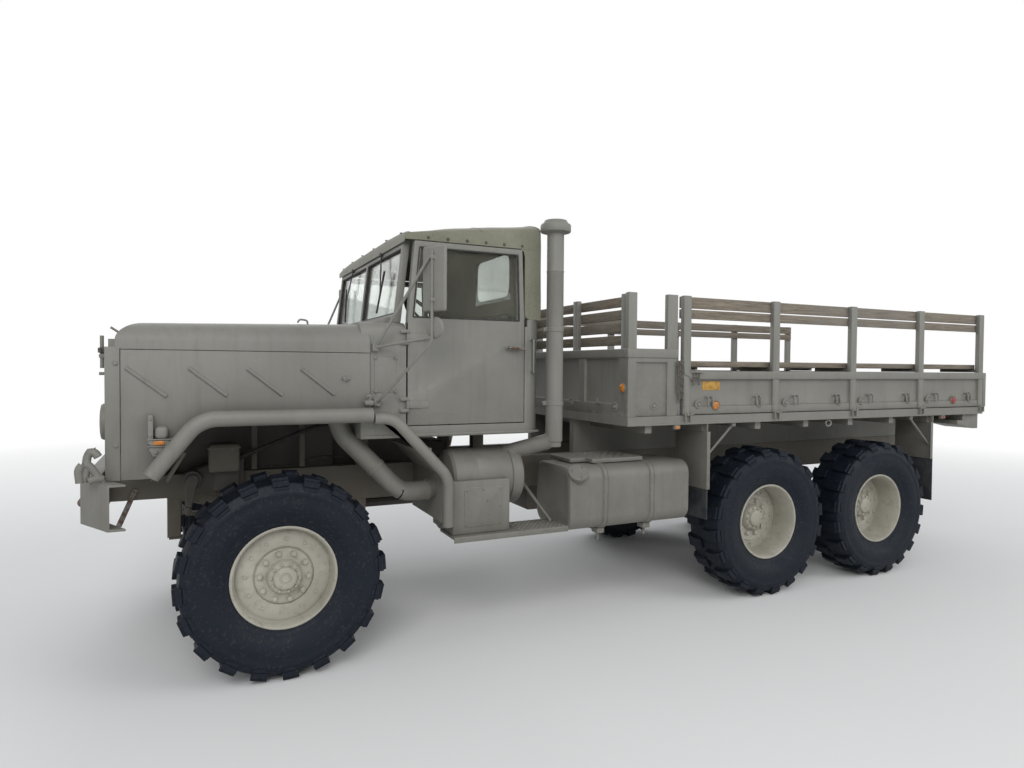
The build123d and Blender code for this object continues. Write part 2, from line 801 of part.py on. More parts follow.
def hood():
    """One tilting shell with the fender tops and their rolled lips, open below and behind."""
    nose_low = hood_crown - hood_fall - hood_nose_radius
    nose = quarter((hood_nose - hood_nose_radius, nose_low), hood_nose_radius, 0, shoulder_steps)
    outline = [(hood_nose, hood_frame_top), (hood_front, hood_frame_top), (hood_front, hood_floor), lip_front_bottom]
    outline += [lip_front_corner, (hood_rear, hood_lower_edge), (hood_rear, hood_crown + 50)]
    outline.append((nose[-1][0], hood_crown + 50))
    side_view = across(outline + list(reversed(nose)), hood_side, -hood_side)
    shoulder_low = hood_crown - hood_crown_drop - hood_shoulder
    section = crowned_section(hood_rear, hood_side, 0, shoulder_low, hood_shoulder, hood_crown, hood_crown_half)
    run = hood_front - hood_rear
    outer = drawn(section, run, -hood_fall * run / (run - hood_nose_radius)) & side_view
    inner = [
        (hood_front - sheet, hood_floor - 10),
        (hood_front - sheet, hood_frame_top - sheet),
        (hood_nose - sheet, hood_frame_top - sheet),
        (hood_nose - sheet - hood_nose_radius, hood_crown - hood_fall - sheet - 4),
        (hood_rear - 10, hood_crown - sheet - 4),
        (hood_rear - 10, hood_floor - 10),
    ]
    space = across(inner, sheet - hood_side, hood_side - sheet)
    high = space.edges().filter_by(lambda edge: edge.center().Z > hood_frame_top)
    long_high = [edge for edge in high if abs(abs(edge.center().Y) - (hood_side - sheet)) < 1]
    space = chamfer(long_high, hood_shoulder + 15, hood_shoulder + 15)
    shell = outer - space
    # The grille closes this opening in the nose.
    shell -= block(hood_front - 30, hood_front + 10, -grille_half, grille_half, grille_low, grille_top)
    for way in (1, -1):
        # The front panel is notched around the fixed ears, so that they clear it as it tilts.
        notch = hood_ear_half + hinge_gap + hinge_ear_width + hinge_gap
        y0, y1 = way * (hood_hinge_side - notch), way * (hood_hinge_side + notch)
        shell -= block(hood_front - 30, hood_front + 10, y0, y1, hood_floor - 10, hood_pivot_z + 18)
        y0 = way * (hood_hinge_side - hood_ear_half)
        y1 = way * (hood_hinge_side + hood_ear_half)
        ear = block(hood_pivot_x - 14, hood_front, y0, y1, hood_pivot_z - 14, hood_pivot_z + 20)
        ear -= bar_hole((hood_pivot_x, y0 - way, hood_pivot_z), (hood_pivot_x, y1 + way, hood_pivot_z), hood_pin)
        shell += ear
        # Slanting ribs pressed into the side panels.
        for number in range(4):
            x = hood_front - 130 - number * 330
            z = hood_frame_top - 110
            slope = rib_length * math.sqrt(0.5)
            rib = [(x, z), (x - 12, z + 8), (x - 12 - slope, z + 8 - slope * 0.8), (x - slope, z - slope * 0.8)]
            shell += across(rib, way * (hood_side - 1), way * (hood_side + rib_height))
    path = [lip_front_bottom, lip_front_corner, (lip_split, hood_lower_edge)]
    lip = rolled_lip(path, hood_side - sheet)
    shell += lip + other_side(lip)
    save("hood_shell", shell)


def hood_fittings():
    """Grille with its slots and brush guard, and the lamps, all riding on the hood."""
    wide = grille_half + grille_edge
    back = hood_front - 24
    plate = block(back, hood_front - sheet, -wide, wide, grille_low - grille_edge, grille_top + 15)
    low = grille_low + 50
    high = grille_top - 50
    slots_half = grille_half - 60
    pitch = 2 * slots_half / grille_slots
    for number in range(grille_slots):
        y = pitch * (number + 0.5) - slots_half
        half = pitch * grille_slot_share
        plate -= block(back - 1, hood_front, y - half, y + half, low, high)
    guard_front = hood_front + guard_reach
    for y in (-420, -140, 140, 420):
        plate += block(hood_front - sheet - 2, guard_front, y - guard_bar, y + guard_bar, low, grille_top - 2)
        plate += block(hood_front, guard_front, y - guard_bar, y + guard_bar, low, high + 150)
    for z in (low + 120, high - 160):
        plate += block(guard_front - 2 * guard_bar, guard_front, -430, 430, z - 12, z + 12)
    save("hood_grille", plate)
    lamps = []
    for y in (lamp_side, -lamp_side):
        ends = (hood_front, y, lamp_height), (hood_front + lamp_reach, y, lamp_height)
        lamps.append(bar(*ends, lamp_radius, drum_sides))
    for way in (1, -1):
        # A bracket with an upright plate, a dome lamp and a marker housing on it.
        y0, y1 = way * hood_side, way * (hood_side + 60)
        bracket = block(marker_x - 60, marker_x + 66, y0, y1, 1438, 1482)
        bracket += block(marker_x + 36, marker_x + 60, y0, y1, 1481, 1612)
        foot = [(marker_x + 66, 1439), (marker_x - 34, 1439), (marker_x - 4, 1378), (marker_x + 36, 1378)]
        bracket += across(foot, y0, y1)
        lamp_y = way * (hood_side + 36)
        bracket += bar((marker_x - 8, lamp_y, 1481), (marker_x - 8, lamp_y, 1546), 34)
        lamps.append(bracket)
    save("hood_lamps", *lamps)


def rear_fenders():
    """The fixed rear half of each front fender, down to the step."""
    path = [(lip_split - panel_gap, hood_lower_edge), fender_top_end, fender_corner, fender_end]
    outer_strip = rolled_lip(path, cab_side + panel_gap)
    low_path = [(front_axle - 836, cab_bottom - 5), fender_corner, fender_end]
    low_under = [(x + fender_wall, z - sheet) for x, z in reversed(low_path)]
    inner_part = across(low_path + low_under, rail_outside, cab_side + panel_gap + 2)
    save("rear_fenders", *both_sides(outer_strip + inner_part))


def door_hinge(z):
    """A strap hinge at one height: knuckles and pin on the cowl's side, and the strap on the door."""
    reach = door_barrel + 24
    x, y = door_pivot_x, door_pivot_y
    pin_ends = (x, y, z - reach), (x, y, z + reach)
    fixed = rod(*pin_ends, door_pin) if z == door_hinge_heights[0] else bar(*pin_ends, door_pin)
    for way in (1, -1):
        z0, z1 = z + way * (door_barrel + 1), z + way * reach
        fixed += bar((x, y, z0), (x, y, z1), door_knuckle)
        fixed += block(x, x + 50, y - 5, y + 4, z0, z1)
        fixed += block(x + 4, x + 50, cab_side - 1, y - 4, z0, z1)
    z0, z1 = z - door_barrel, z + door_barrel
    moving = bar((x, y, z0), (x, y, z1), door_knuckle)
    moving += block(door_front - 90, door_front + 1, cab_side - 1, cab_side + 9, z0, z1)
    moving -= bar_hole((x, y, z0 - 1), (x, y, z1 + 1), door_pin)
    return fixed, moving


def cab():
    """Hollow sheet-metal cab: floor, firewall, cowl, door frames and rear wall, open above the belt."""
    wall = cab_wall
    cowl_rear = door_front + panel_gap
    tub = block(cab_rear, cowl_rear + 1, -cab_side, cab_side, cab_bottom, cowl_top)
    rear = block(cab_rear, cab_rear + cab_corner + 20, -cab_side, cab_side, cowl_top - 1, belt + 20)
    tub += rear
    corners = [edge for edge in tub.edges().filter_by(Axis.Z) if abs(edge.center().X - cab_rear) < 1]
    tub = fillet(corners, cab_corner)
    shoulder_low = cowl_top - cowl_shoulder
    outer = cab_bottom, shoulder_low, cowl_shoulder, cowl_top, cowl_crown_half
    section = crowned_section(cowl_rear, cab_side, *outer)
    tub += drawn(section, cab_front - cowl_rear, 0)
    tub -= block(cab_rear + wall, cab_front - wall, wall - cab_side, cab_side - wall, cab_floor, shoulder_low)
    half = screen_half - wall
    tub -= block(cab_rear + wall, cab_front - wall, -half, half, shoulder_low - 1, cowl_top - wall)
    # Above the door sills the tub is open from the screen's base to the rear wall.
    tub -= block(cab_rear + wall, dash_front, wall - cab_side, cab_side - wall, cab_floor, belt + 30)
    for way in (1, -1):
        y0 = way * (cab_side - door_thickness - panel_gap)
        y1 = way * (cab_side + 20)
        tub -= block(door_rear - panel_gap, cowl_rear, y0, y1, door_bottom - panel_gap, belt + 60)
    for z in door_hinge_heights:
        ears, _ = door_hinge(z)
        tub += ears
        tub += other_side(ears)
    # A grab handle behind each door.
    handle_x = door_rear - grab_inset
    handle_y = cab_side + grab_reach
    grab = bar((handle_x, handle_y, grab_low), (handle_x, handle_y, grab_high), grab_radius, hinge_pin_sides)
    for z in (grab_low + grab_radius, grab_high - grab_radius):
        grab += bar((handle_x, cab_side - 1, z), (handle_x, handle_y, z), grab_radius, hinge_pin_sides)
    tub += grab
    tub += other_side(grab)
    save("cab_shell", tub)


def windshield():
    """Raked frame with two panes, standing on the cowl."""
    base = cowl_top
    lean = (screen_top - screen_base) / (screen_top_height - base)
    low = base + screen_sill
    high = screen_top_height - screen_post
    bar_half = 24

    def slanted(y0, y1, z0, z1, front, back):
        """A piece of the raked frame between two heights."""
        x0 = screen_base + lean * (z0 - base)
        x1 = screen_base + lean * (z1 - base)
        outline = [(x0 - front, z0), (x1 - front, z1), (x1 - back, z1), (x0 - back, z0)]
        return across(outline, y0, y1)

    frame = slanted(-screen_half, screen_half, base, screen_top_height, 0, screen_depth)
    glass = []
    for way in (1, -1):
        y0, y1 = way * bar_half, way * (screen_half - screen_post)
        frame -= slanted(y0, y1, low, high, -1, screen_depth + 1)
        inset = running_gap
        y0, y1 = way * (bar_half + inset), way * (screen_half - screen_post - inset)
        glass.append(slanted(y0, y1, low + inset, high - inset, 18, 24))
    save("windshield_frame", frame)
    save("windshield_glass", *glass)


def doors():
    """Each door as thick as the real one, with its window cut, and its glass in the frame."""
    y0 = cab_side - door_thickness
    outline = [
        (door_rear, door_bottom),
        (door_front, door_bottom),
        (door_front, belt),
        (door_front - 46, door_top),
        (door_rear + 20, door_top),
        (door_rear, belt),
    ]
    opening = [
        (door_rear + door_bar, belt + 8),
        (door_front - door_bar - 6, belt + 8),
        (door_front - door_bar - 48, door_top - door_bar),
        (door_rear + door_bar + 14, door_top - door_bar),
    ]
    door = across(outline, y0, cab_side) - across(opening, y0 - 1, cab_side + 1)
    handle_x = door_rear + 90
    handle_z = belt - 180
    door += block(handle_x - 60, handle_x + 60, cab_side - 1, cab_side + 26, handle_z - 12, handle_z + 12)
    for z in door_hinge_heights:
        _, strap = door_hinge(z)
        door += strap
    middle_x = sum(x for x, z in opening) / 4
    middle_z = sum(z for x, z in opening) / 4
    shrink = 1 - 2 * running_gap / (door_top - belt)
    pane_outline = [(middle_x + (x - middle_x) * shrink, middle_z + (z - middle_z) * shrink) for x, z in opening]
    pane = across(pane_outline, cab_side - 32, cab_side - 26)
    save("door_left", door)
    save("door_right", other_side(door))
    save("door_glass_left", pane)
    save("door_glass_right", other_side(pane))


def cab_roof():
    """Canvas over the cab: a crowned top that rises to the rear, with side skirts and a rear curtain."""
    front_x = screen_top + 10
    rear_x = cab_rear - canvas - 2
    rise = roof_rear_crown - roof_front_crown
    run = front_x - rear_x

    def canopy(inset, ahead, behind):
        """The canvas top's outer or inner face, cut off level at the roof's edge."""
        slope = rise / run
        start = front_x + ahead
        crown = roof_front_crown - inset - slope * ahead
        low = roof_edge + roof_skirt - slope * ahead
        top = crown - low
        half = roof_side - inset
        bow, shoulder = half - 110, low + 0.55 * top
        left = Polyline((start, half, 0), (start, half, low), (start, bow, shoulder))
        left += ThreePointArc((start, bow, shoulder), (start, 0, crown), (start, -bow, shoulder))
        left += Polyline((start, -bow, shoulder), (start, -half, low), (start, -half, 0), (start, half, 0))
        whole = drawn(make_face(left), -run - ahead - behind, slope * (run + ahead + behind))
        floor = roof_edge if inset == 0 else roof_edge - 1
        return whole & block(start, rear_x - behind, -half - 1, half + 1, floor, roof_rear_crown + 100)

    roof = canopy(0, 0, 0) - canopy(canvas, -30, -canvas)
    # Rear curtain and the quarter pieces behind the doors come down to the metal.
    low = belt + 20
    roof += block(rear_x, rear_x + canvas, -roof_side, roof_side, low, roof_edge + 30)
    for way in (1, -1):
        y0, y1 = way * (roof_side - canvas), way * roof_side
        roof += block(rear_x, door_rear - panel_gap - 4, y0, y1, low, roof_edge + 20)
    save("cab_roof", roof)


def cab_inside():
    """Seats as plain cushions on steel bases, the dash, the column and the steering wheel."""
    base_top = 1780
    back_thickness = 112
    cushion = 110
    seat_depth = 540
    seat_back = cab_rear + cab_wall + 36
    cushions = []
    bases = []
    for y0, y1 in ((280, 820), (-950, -60)):
        cushion_z = base_top + running_gap
        x = seat_back + back_thickness
        cushions.append(block(x + running_gap, seat_back + seat_depth, y0, y1, cushion_z, base_top + cushion))
        cushions.append(block(seat_back, x, y0, y1, cushion_z, base_top + 520))
        bases.append(block(seat_back, seat_back + seat_depth - 40, y0 + 20, y1 - 20, cab_floor, base_top))
    save("seats", *cushions)
    save("seat_bases", *bases)
    dash_rear = screen_base - 200
    dash_half = cab_side - door_thickness - 2 * panel_gap
    dash = block(dash_rear, dash_front, -dash_half, dash_half, 1930, cowl_top - cab_wall - panel_gap)
    driver_side = 560
    column_foot = (dash_rear + 70, driver_side, 2010)
    wheel_at = (dash_rear - 170, driver_side, 2210)
    dash += bar(column_foot, wheel_at, 24)
    place = Plane(origin=wheel_at, z_dir=Vector(*wheel_at) - Vector(*column_foot))
    rim = extrude(place * RegularPolygon(248, drum_sides), 24) - extrude(place * RegularPolygon(220, drum_sides), 24)
    spokes = extrude(place * Rectangle(470, 26), 12) + extrude(place * Rectangle(26, 470), 12)
    dash += rim + spokes
    save("dash", dash)


def mirrors():
    """West-coast mirrors on a frame that reaches out from the cowl and the lower door hinge."""
    head_x = front_axle - 850
    head_y = cab_side + 295
    head_z = 2430
    turn = 32
    head = Pos(head_x, head_y, head_z) * Rot(0, 0, turn) * Box(30, 178, 400)
    round_z = 2130
    round_head = Pos(head_x, head_y, round_z) * Rot(0, 0, turn) * Rot(0, 90, 0)
    frame = head + extrude(round_head * Plane.XY * RegularPolygon(68, hub_sides), 15, both=True)
    arm = 11
    foot = cab_side + 26
    foot_low = (cab_front - 100, foot, 1660)
    foot_high = (cab_front - 90, foot, 2010)
    frame += bar((head_x, head_y, round_z - 90), (head_x, head_y, head_z), arm, hinge_pin_sides)
    frame += bar(foot_low, (head_x, head_y, round_z - 80), arm, hinge_pin_sides)
    frame += bar(foot_high, (head_x, head_y, round_z - 70), arm, hinge_pin_sides)
    frame += bar(foot_high, (head_x, head_y, head_z + 170), arm, hinge_pin_sides)
    for x, y, z in (foot_low, foot_high):
        frame += block(x - 22, x + 22, cab_side, foot + 4, z - 26, z + 26)
    save("mirrors", *both_sides(frame))


def left_side():
    """Air cleaner with its end ring and bracket, and the intake stack that rises from it."""
    ring_x = canister_rear + 60
    table = (
        # front end, rear end, radius
        (canister_front, canister_rear, canister_radius),
        (ring_x, ring_x - 20, canister_radius + 7),
    )
    ends = [((x0, canister_y, canister_z), (x1, canister_y, canister_z), radius) for x0, x1, radius in table]
    canister = bar(*ends[0], drum_sides) + bar(*ends[1], drum_sides)
    stack = bar((stack_x, stack_y, stack_bottom), (stack_x, stack_y, stack_top), stack_radius, hub_sides)
    elbow_end = (canister_rear + 80, canister_y, canister_z + canister_radius - 25)
    stack += bar((stack_x, stack_y, stack_bottom), elbow_end, stack_radius - 4, hub_sides)
    table = (
        # lower end, upper end, radius: the stub under the elbow, the cap's brim and its crown
        (stack_bottom - 40, stack_bottom + 1, stack_radius - 8),
        (stack_top - 5, stack_top + 45, stack_cap_radius),
        (stack_top + 44, stack_top + 80, stack_cap_radius * 0.8),
    )
    for z0, z1, radius in table:
        stack += bar((stack_x, stack_y, z0), (stack_x, stack_y, z1), radius, hub_sides)
    intake = canister + stack
    bracket_x = canister_front - 280
    intake += block(bracket_x - 30, bracket_x + 30, rail_outside, canister_y, canister_z - 30, rail_top - 10)
    save("air_intake", intake)


def fuel_tank():
    """Rounded tank with its straps and brackets, filler neck and cap, and a tread plate on top."""
    outline = rounded(tank_inner, tank_outer, tank_bottom, tank_top, tank_corner)
    tank = along(outline, tank_rear, tank_front)
    start = (filler_x, tank_outer - 150, tank_top - 30)
    tank += bar(start, (filler_x, tank_outer - 60, tank_top + 50), filler_radius, hub_sides)
    out = strap_thickness
    band = rounded(tank_inner - out, tank_outer + out, tank_bottom - out, tank_top + out, tank_corner + out)
    for share in strap_places:
        x = tank_front + (tank_rear - tank_front) * share
        tank += along(band, x - strap_width / 2, x + strap_width / 2)
        tank += block(x - 30, x + 30, rail_outside, tank_inner + 5, tank_top - 200, tank_top - 120)
    tank += block(plate_front - plate_length, plate_front, tank_inner + 80, tank_outer - 160, tank_top - 1, tank_top + 22)
    save("fuel_tank", tank)


def exhaust():
    """Muffler under the right side and the tall stack behind the cab."""
    pipe_radius = 50
    front = front_axle - 1100
    rear = front_axle - 1700
    pipe = bar((front - 50, -rail_outside, muffler_z), (front - 50, -muffler_side, muffler_z), pipe_radius)
    pipe += bar((front, -muffler_side, muffler_z), (rear, -muffler_side, muffler_z), 120, drum_sides)
    elbow = (exhaust_x, -exhaust_side, muffler_z + 200)
    pipe += bar((rear + 50, -muffler_side, muffler_z), elbow, pipe_radius)
    pipe += bar((exhaust_x, -exhaust_side, elbow[2] - 30), (exhaust_x, -exhaust_side, 2700), pipe_radius, hub_sides)
    pipe += bar((exhaust_x, -exhaust_side, 1750), (exhaust_x, -exhaust_side, 2450), 88, hub_sides)
    bracket_x = front - 350
    pipe += block(bracket_x - 30, bracket_x + 30, -700, -rail_outside, muffler_z + 10, rail_top - 10)
    save("exhaust", pipe)


def side_boxes():
    """Equipment box on the left and battery box on the right, with the cab steps under them."""
    left = block(box_rear, box_front, 700, 1120, step_z, 975)
    left += block(box_rear + 40, box_front - 40, rail_outside, 760, 900, 960)
    left += block(step_rear, step_front, 1000, step_out, step_z - step_plate, step_z)
    left += block(step_rear, step_front, step_out - 8, step_out, step_z - 110, step_z)
    right = block(box_rear - 58, box_front + 15, -1120, -620, step_z, 970)
    right += block(box_rear - 18, box_front - 25, -660, -rail_outside, 925, 965)
    right += block(step_rear, step_front, -step_out, -1000, step_z - step_plate, step_z)
    save("side_boxes", left, right)


def hinge(place, inboard, first):
    """A hinge with its pin along local X: the fixed ears with the pin, and the moving ear round it."""
    low = bed_floor_top - 2
    top = pivot_height + hinge_ear
    out = hinge_reach + hinge_ear
    end = hinge_half + hinge_gap + hinge_ear_width
    fixed = bar((-end, hinge_reach, pivot_height), (end, hinge_reach, pivot_height), hinge_pin, hinge_pin_sides)
    ear = [(-inboard, low - hinge_drop), (out, low - hinge_drop), (out, top)]
    ear += [(hinge_gap, top), (hinge_gap, low), (-inboard, low)]
    for way in (1, -1):
        fixed += along(ear, way * (hinge_half + hinge_gap), way * end)
    if first:
        # The pin's round head shows on the first hinge of a row.
        fixed += rod((end - 1, hinge_reach, pivot_height), (end + 4, hinge_reach, pivot_height), hinge_head)
    arm = [(-1, bed_floor_top + panel_gap), (hinge_gap, bed_floor_top + panel_gap), (hinge_gap, pivot_height - hinge_ear)]
    arm += [(out, pivot_height - hinge_ear), (out, top), (-1, top)]
    moving = along(arm, -hinge_half, hinge_half)
    hole_half = hinge_half + 1
    hole_ends = (-hole_half, hinge_reach, pivot_height), (hole_half, hinge_reach, pivot_height)
    moving -= bar_hole(*hole_ends, hinge_pin, hinge_pin_sides)
    return place * fixed, place * moving


def side_hinge_places():
    """One hinge under each stake of the left dropside."""
    first = dropside_front - stake_width / 2
    return [Pos(first - number * stake_pitch, side, 0) for number in range(stake_count)]


def tailgate_hinge_places():
    """Hinges behind the bed's rear sill."""
    return [Pos(bed_rear - stake_depth, y, 0) * Rot(0, 0, 90) for y in (-900, 0, 900)]


def bed_floor():
    """Floor on cross bearers and two long sills that stand on the frame rails."""
    floor_under = bed_floor_top - floor_thickness
    floor = block(bed_rear, bed_front, -side, side, floor_under, bed_floor_top)
    deck_side = side - stake_depth - 8
    deck_front = bed_front - bed_wall - 5
    floor += block(bed_rear + 10, deck_front, -deck_side, deck_side, bed_floor_top - 1, bed_floor_top + deck_height)
    for way in (1, -1):
        floor += block(bed_rear, bed_front, way * (side - 50), way * side, sill_bottom, bed_floor_top)
        y0, y1 = way * (rail_outside - 70), way * (rail_outside - panel_gap)
        floor += block(bed_rear + 20, bed_front - 20, y0, y1, rail_top, floor_under + 1)
    floor += block(bed_rear, bed_rear + 50, -side, side, sill_bottom, bed_floor_top)
    floor += block(bed_front - bed_wall, bed_front, -side, side, sill_bottom, bed_floor_top)
    for number, place in enumerate(side_hinge_places()):
        ears, _ = hinge(place, 0, number == 0)
        floor += ears
        floor += other_side(ears)
    for number, place in enumerate(tailgate_hinge_places()):
        ears, _ = hinge(place, stake_depth, number == 0)
        floor += ears
    pitch = (bed_front - bed_rear - 2 * bearer_inset) / (bearers - 1)
    for number in range(bearers):
        x = bed_front - bearer_inset - number * pitch
        x0, x1 = x - bearer_width / 2, x + bearer_width / 2
        floor += block(x0, x1, 45 - side, side - 45, bearer_bottom, floor_under + 1)
    save("bed_floor", floor)


def bed_front_part():
    """Fixed front wall, the short fixed sides with their posts, and the front rack."""
    base = bed_floor_top
    wall_back = bed_front - bed_wall
    front_post = bed_front - 76
    rear_post = dropside_front + 59
    wall = block(wall_back, bed_front, -side, side, base, front_wall_top)
    pockets = 4
    width = (2 * side - 160) / pockets
    for number in range(pockets):
        y = 80 - side + width * (number + 0.5)
        half = width / 2 - 45
        wall -= block(bed_front - 22, bed_front + 1, y - half, y + half, base + 90, front_wall_top - 70)
    for way in (1, -1):
        y0, y1 = way * (side - bed_wall), way * side
        wall += block(front_post, bed_front, y0, y1, base, stake_top)
        wall += block(rear_post, rear_post + 94, y0, y1, base, stake_top)
        wall += block(rear_post + 93, front_post + 1, y0, way * (side - 20), base, fixed_side_top)
        wall += block(rear_post + 93, front_post + 1, y0, y1, fixed_side_top - bay_high, fixed_side_top)
        for y in front_rack_posts:
            y0, y1 = way * y - front_post_half, way * y + front_post_half
            wall += block(wall_back - front_post_depth, wall_back + 1, y0, y1, front_wall_top - 200, stake_top)
    save("bed_front", wall)
    slats = []
    x1 = wall_back - front_post_depth
    half = side - bed_wall - 28
    for number in range(front_slats):
        z0 = front_wall_top + 30 + number * 98
        slats.append(block(x1 - slat_thickness, x1, -half, half, z0, z0 + 76))
    save("rack_slats_front", *slats)


def dropsides():
    """Hinged sides with their stakes, the wooden rack slats and the seat boards on brackets."""
    x1 = dropside_front
    x0 = bed_rear + panel_gap
    z0 = bed_floor_top + panel_gap
    inner = side - stake_depth
    side_wall = block(x0, x1, inner, side, z0, dropside_top)
    centres = [dropside_front - stake_width / 2 - number * stake_pitch for number in range(stake_count)]
    for front_stake, rear_stake in zip(centres, centres[1:]):
        bay0 = rear_stake + stake_width / 2
        bay1 = front_stake - stake_width / 2
        # The rails lie a little behind the stakes' faces, and the panel between them deeper still.
        side_wall -= block(bay0, bay1, side - rail_inset, side + 1, z0 - 1, dropside_top + 1)
        side_wall -= block(bay0, bay1, side - stake_skin, side + 1, z0 + bay_low, dropside_top - bay_high)
    seat_under = seat_top - seat_thickness
    for centre in centres:
        x_low, x_high = centre - bracket_half, centre + bracket_half
        side_wall += block(centre - stake_width / 2, centre + stake_width / 2, inner, side, dropside_top - 1, stake_top)
        side_wall += block(x_low, x_high, seat_inner + 30, inner + 1, seat_under - bracket_height, seat_under)
    for number, place in enumerate(side_hinge_places()):
        _, ear = hinge(place, 0, number == 0)
        side_wall += ear
    save("dropside_left", side_wall)
    save("dropside_right", other_side(side_wall))
    wood = []
    for z_low, z_high in slat_rows:
        wood.append(block(x0 + 20, x1, inner - slat_thickness, inner, z_low, z_high))
    for number in range(seat_boards):
        y_low = seat_inner + number * (seat_board + seat_board_gap)
        wood.append(block(x0 + 20, x1, y_low, y_low + seat_board, seat_under, seat_top))
    save("side_wood_left", *wood)
    save("side_wood_right", *[other_side(one) for one in wood])


def tailgate():
    """Hinged rear gate between the dropsides, ribbed like them."""
    z0 = bed_floor_top + panel_gap
    back = bed_rear - stake_depth
    gate = block(back, bed_rear - 1, -side, side, z0, dropside_top)
    bays = 4
    width = 2 * side / bays
    for number in range(bays):
        y = width * (number + 0.5) - side
        half = width / 2 - 34
        gate -= block(back - 1, back + 24, y - half, y + half, z0 + bay_low, dropside_top - bay_high)
    for number, place in enumerate(tailgate_hinge_places()):
        _, ear = hinge(place, stake_depth, number == 0)
        gate += ear
    save("tailgate", gate)


def bed_guards():
    """Mudguards ahead of and behind the rear wheels, with rubber flaps, and the tapered tail pieces."""
    guards = []
    flaps = []
    table = (
        # place along X, lower edge of the steel, flap's lower and upper edge, side of the wheels
        (front_guard_x, 940, 700, 960, -1),
        (rear_guard_x, 1040, 640, 1060, 1),
    )
    for x, low, flap_low, flap_high, inward in table:
        for way in (1, -1):
            x0, x1 = x - guard_sheet / 2, x + guard_sheet / 2
            plate = block(x0, x1, way * guard_inner, way * side, low, bearer_bottom - 2)
            plate += block(x0, x1, way * (side - 45), way * side, bearer_bottom - 3, sill_bottom)
            # The outer edge is folded over towards the wheels, and a brace ties it to the sill.
            flange = x - inward * guard_sheet / 2, x + inward * guard_flange
            plate += block(*flange, way * (side - guard_sheet), way * side, low, bearer_bottom - 2)
            brace_y = way * (side - 2 * brace_foot)
            head_x, head_z = x + inward * brace_run, sill_bottom - brace_foot
            plate += bar((x, brace_y, head_z - brace_drop), (head_x, brace_y, head_z), brace_radius, hinge_pin_sides)
            foot_y = [brace_y - brace_foot, brace_y + brace_foot]
            plate += block(head_x - brace_foot, head_x + brace_foot, *foot_y, head_z - brace_radius, sill_bottom)
            guards.append(plate)
            flap_side = way * (side - guard_sheet)
            flaps.append(block(x - 15, x - guard_sheet / 2, way * guard_inner, flap_side, flap_low, flap_high))
    save("mud_flaps", *flaps)
    lamps = []
    for way in (1, -1):
        # Each tail piece hangs from the rear sill and tapers forward under the last bearer.
        under = bearer_bottom - 2
        step = bed_rear + bearer_inset - bearer_width / 2 - panel_gap
        tail = [(bed_rear + 2, sill_bottom), (bed_rear + 2, sill_bottom - tail_depth)]
        tail += [(bed_rear + 70, sill_bottom - tail_depth), (bed_rear + tail_reach, under - 40)]
        tail += [(bed_rear + tail_reach, under), (step, under), (step, sill_bottom)]
        guards.append(across(tail, way * 900, way * 1190))
        for x in (dropside_front + 46, rear_guard_x - 166):
            y0, y1 = way * (side - 40), way * (side - 4)
            lamps.append(block(x - 28, x + 28, y0, y1, sill_bottom - 36, sill_bottom))
        lamps.append(block(bed_rear + 2, bed_rear + 50, way * 760, way * 880, sill_bottom - 110, sill_bottom))
    save("bed_guards", *guards)
    save("bed_lamps", *lamps)


def save_all():
    """Every sub-part in turn."""
    wheels()
    knuckles()
    axles()
    springs()
    chassis_frame()
    steering_gear()
    front_bumper()
    power_train()
    propshafts()
    hood()
    hood_fittings()
    rear_fenders()
    cab()
    windshield()
    doors()
    cab_roof()
    cab_inside()
    mirrors()
    left_side()
    fuel_tank()
    exhaust()
    side_boxes()
    bed_floor()
    bed_front_part()
    dropsides()
    tailgate()
    bed_guards()


save_all()
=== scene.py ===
import math

import bpy
from mathutils import Matrix, Vector


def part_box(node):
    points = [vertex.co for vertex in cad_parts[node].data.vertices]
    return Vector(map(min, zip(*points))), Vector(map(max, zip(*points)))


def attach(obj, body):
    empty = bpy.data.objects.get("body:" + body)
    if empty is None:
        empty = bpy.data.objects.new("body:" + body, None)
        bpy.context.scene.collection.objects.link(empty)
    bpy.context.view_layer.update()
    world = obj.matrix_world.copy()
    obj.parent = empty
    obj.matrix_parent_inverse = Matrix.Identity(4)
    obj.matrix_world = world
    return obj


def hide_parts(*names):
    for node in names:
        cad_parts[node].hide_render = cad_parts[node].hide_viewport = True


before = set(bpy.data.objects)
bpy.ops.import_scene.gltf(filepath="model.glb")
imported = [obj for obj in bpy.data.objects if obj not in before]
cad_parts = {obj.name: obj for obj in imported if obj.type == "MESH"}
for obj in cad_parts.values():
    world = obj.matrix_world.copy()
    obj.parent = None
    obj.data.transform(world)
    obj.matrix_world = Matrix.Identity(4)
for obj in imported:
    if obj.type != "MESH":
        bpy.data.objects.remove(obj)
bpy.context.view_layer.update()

# The camera. It stands a little ahead of the front axle, five metres off the truck's left
# side, at eye height, and looks back along the body through a wide lens.
tyre_low, tyre_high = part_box("tyre_front_left")
axle_x = (tyre_low.x + tyre_high.x) / 2
eye = Vector((axle_x + 0.510, 5.356, 1.890))
yaw = 0.4438
pitch = -0.0247
roll = 0.0077
view_way = Vector((-math.sin(yaw) * math.cos(pitch), -math.cos(yaw) * math.cos(pitch), math.sin(pitch)))
level_right = view_way.cross(Vector((0, 0, 1))).normalized()
level_up = level_right.cross(view_way)
right_way = math.cos(roll) * level_right + math.sin(roll) * level_up
up_way = -math.sin(roll) * level_right + math.cos(roll) * level_up
bpy.ops.object.camera_add(location=eye)
camera = bpy.context.object
camera.name = "photo_view"
camera.matrix_world = Matrix.Translation(eye) @ Matrix((right_way, up_way, -view_way)).transposed().to_4x4()
camera.data.sensor_width = 36
camera.data.lens = 23.79
camera.data.clip_end = 200
bpy.context.scene.camera = camera

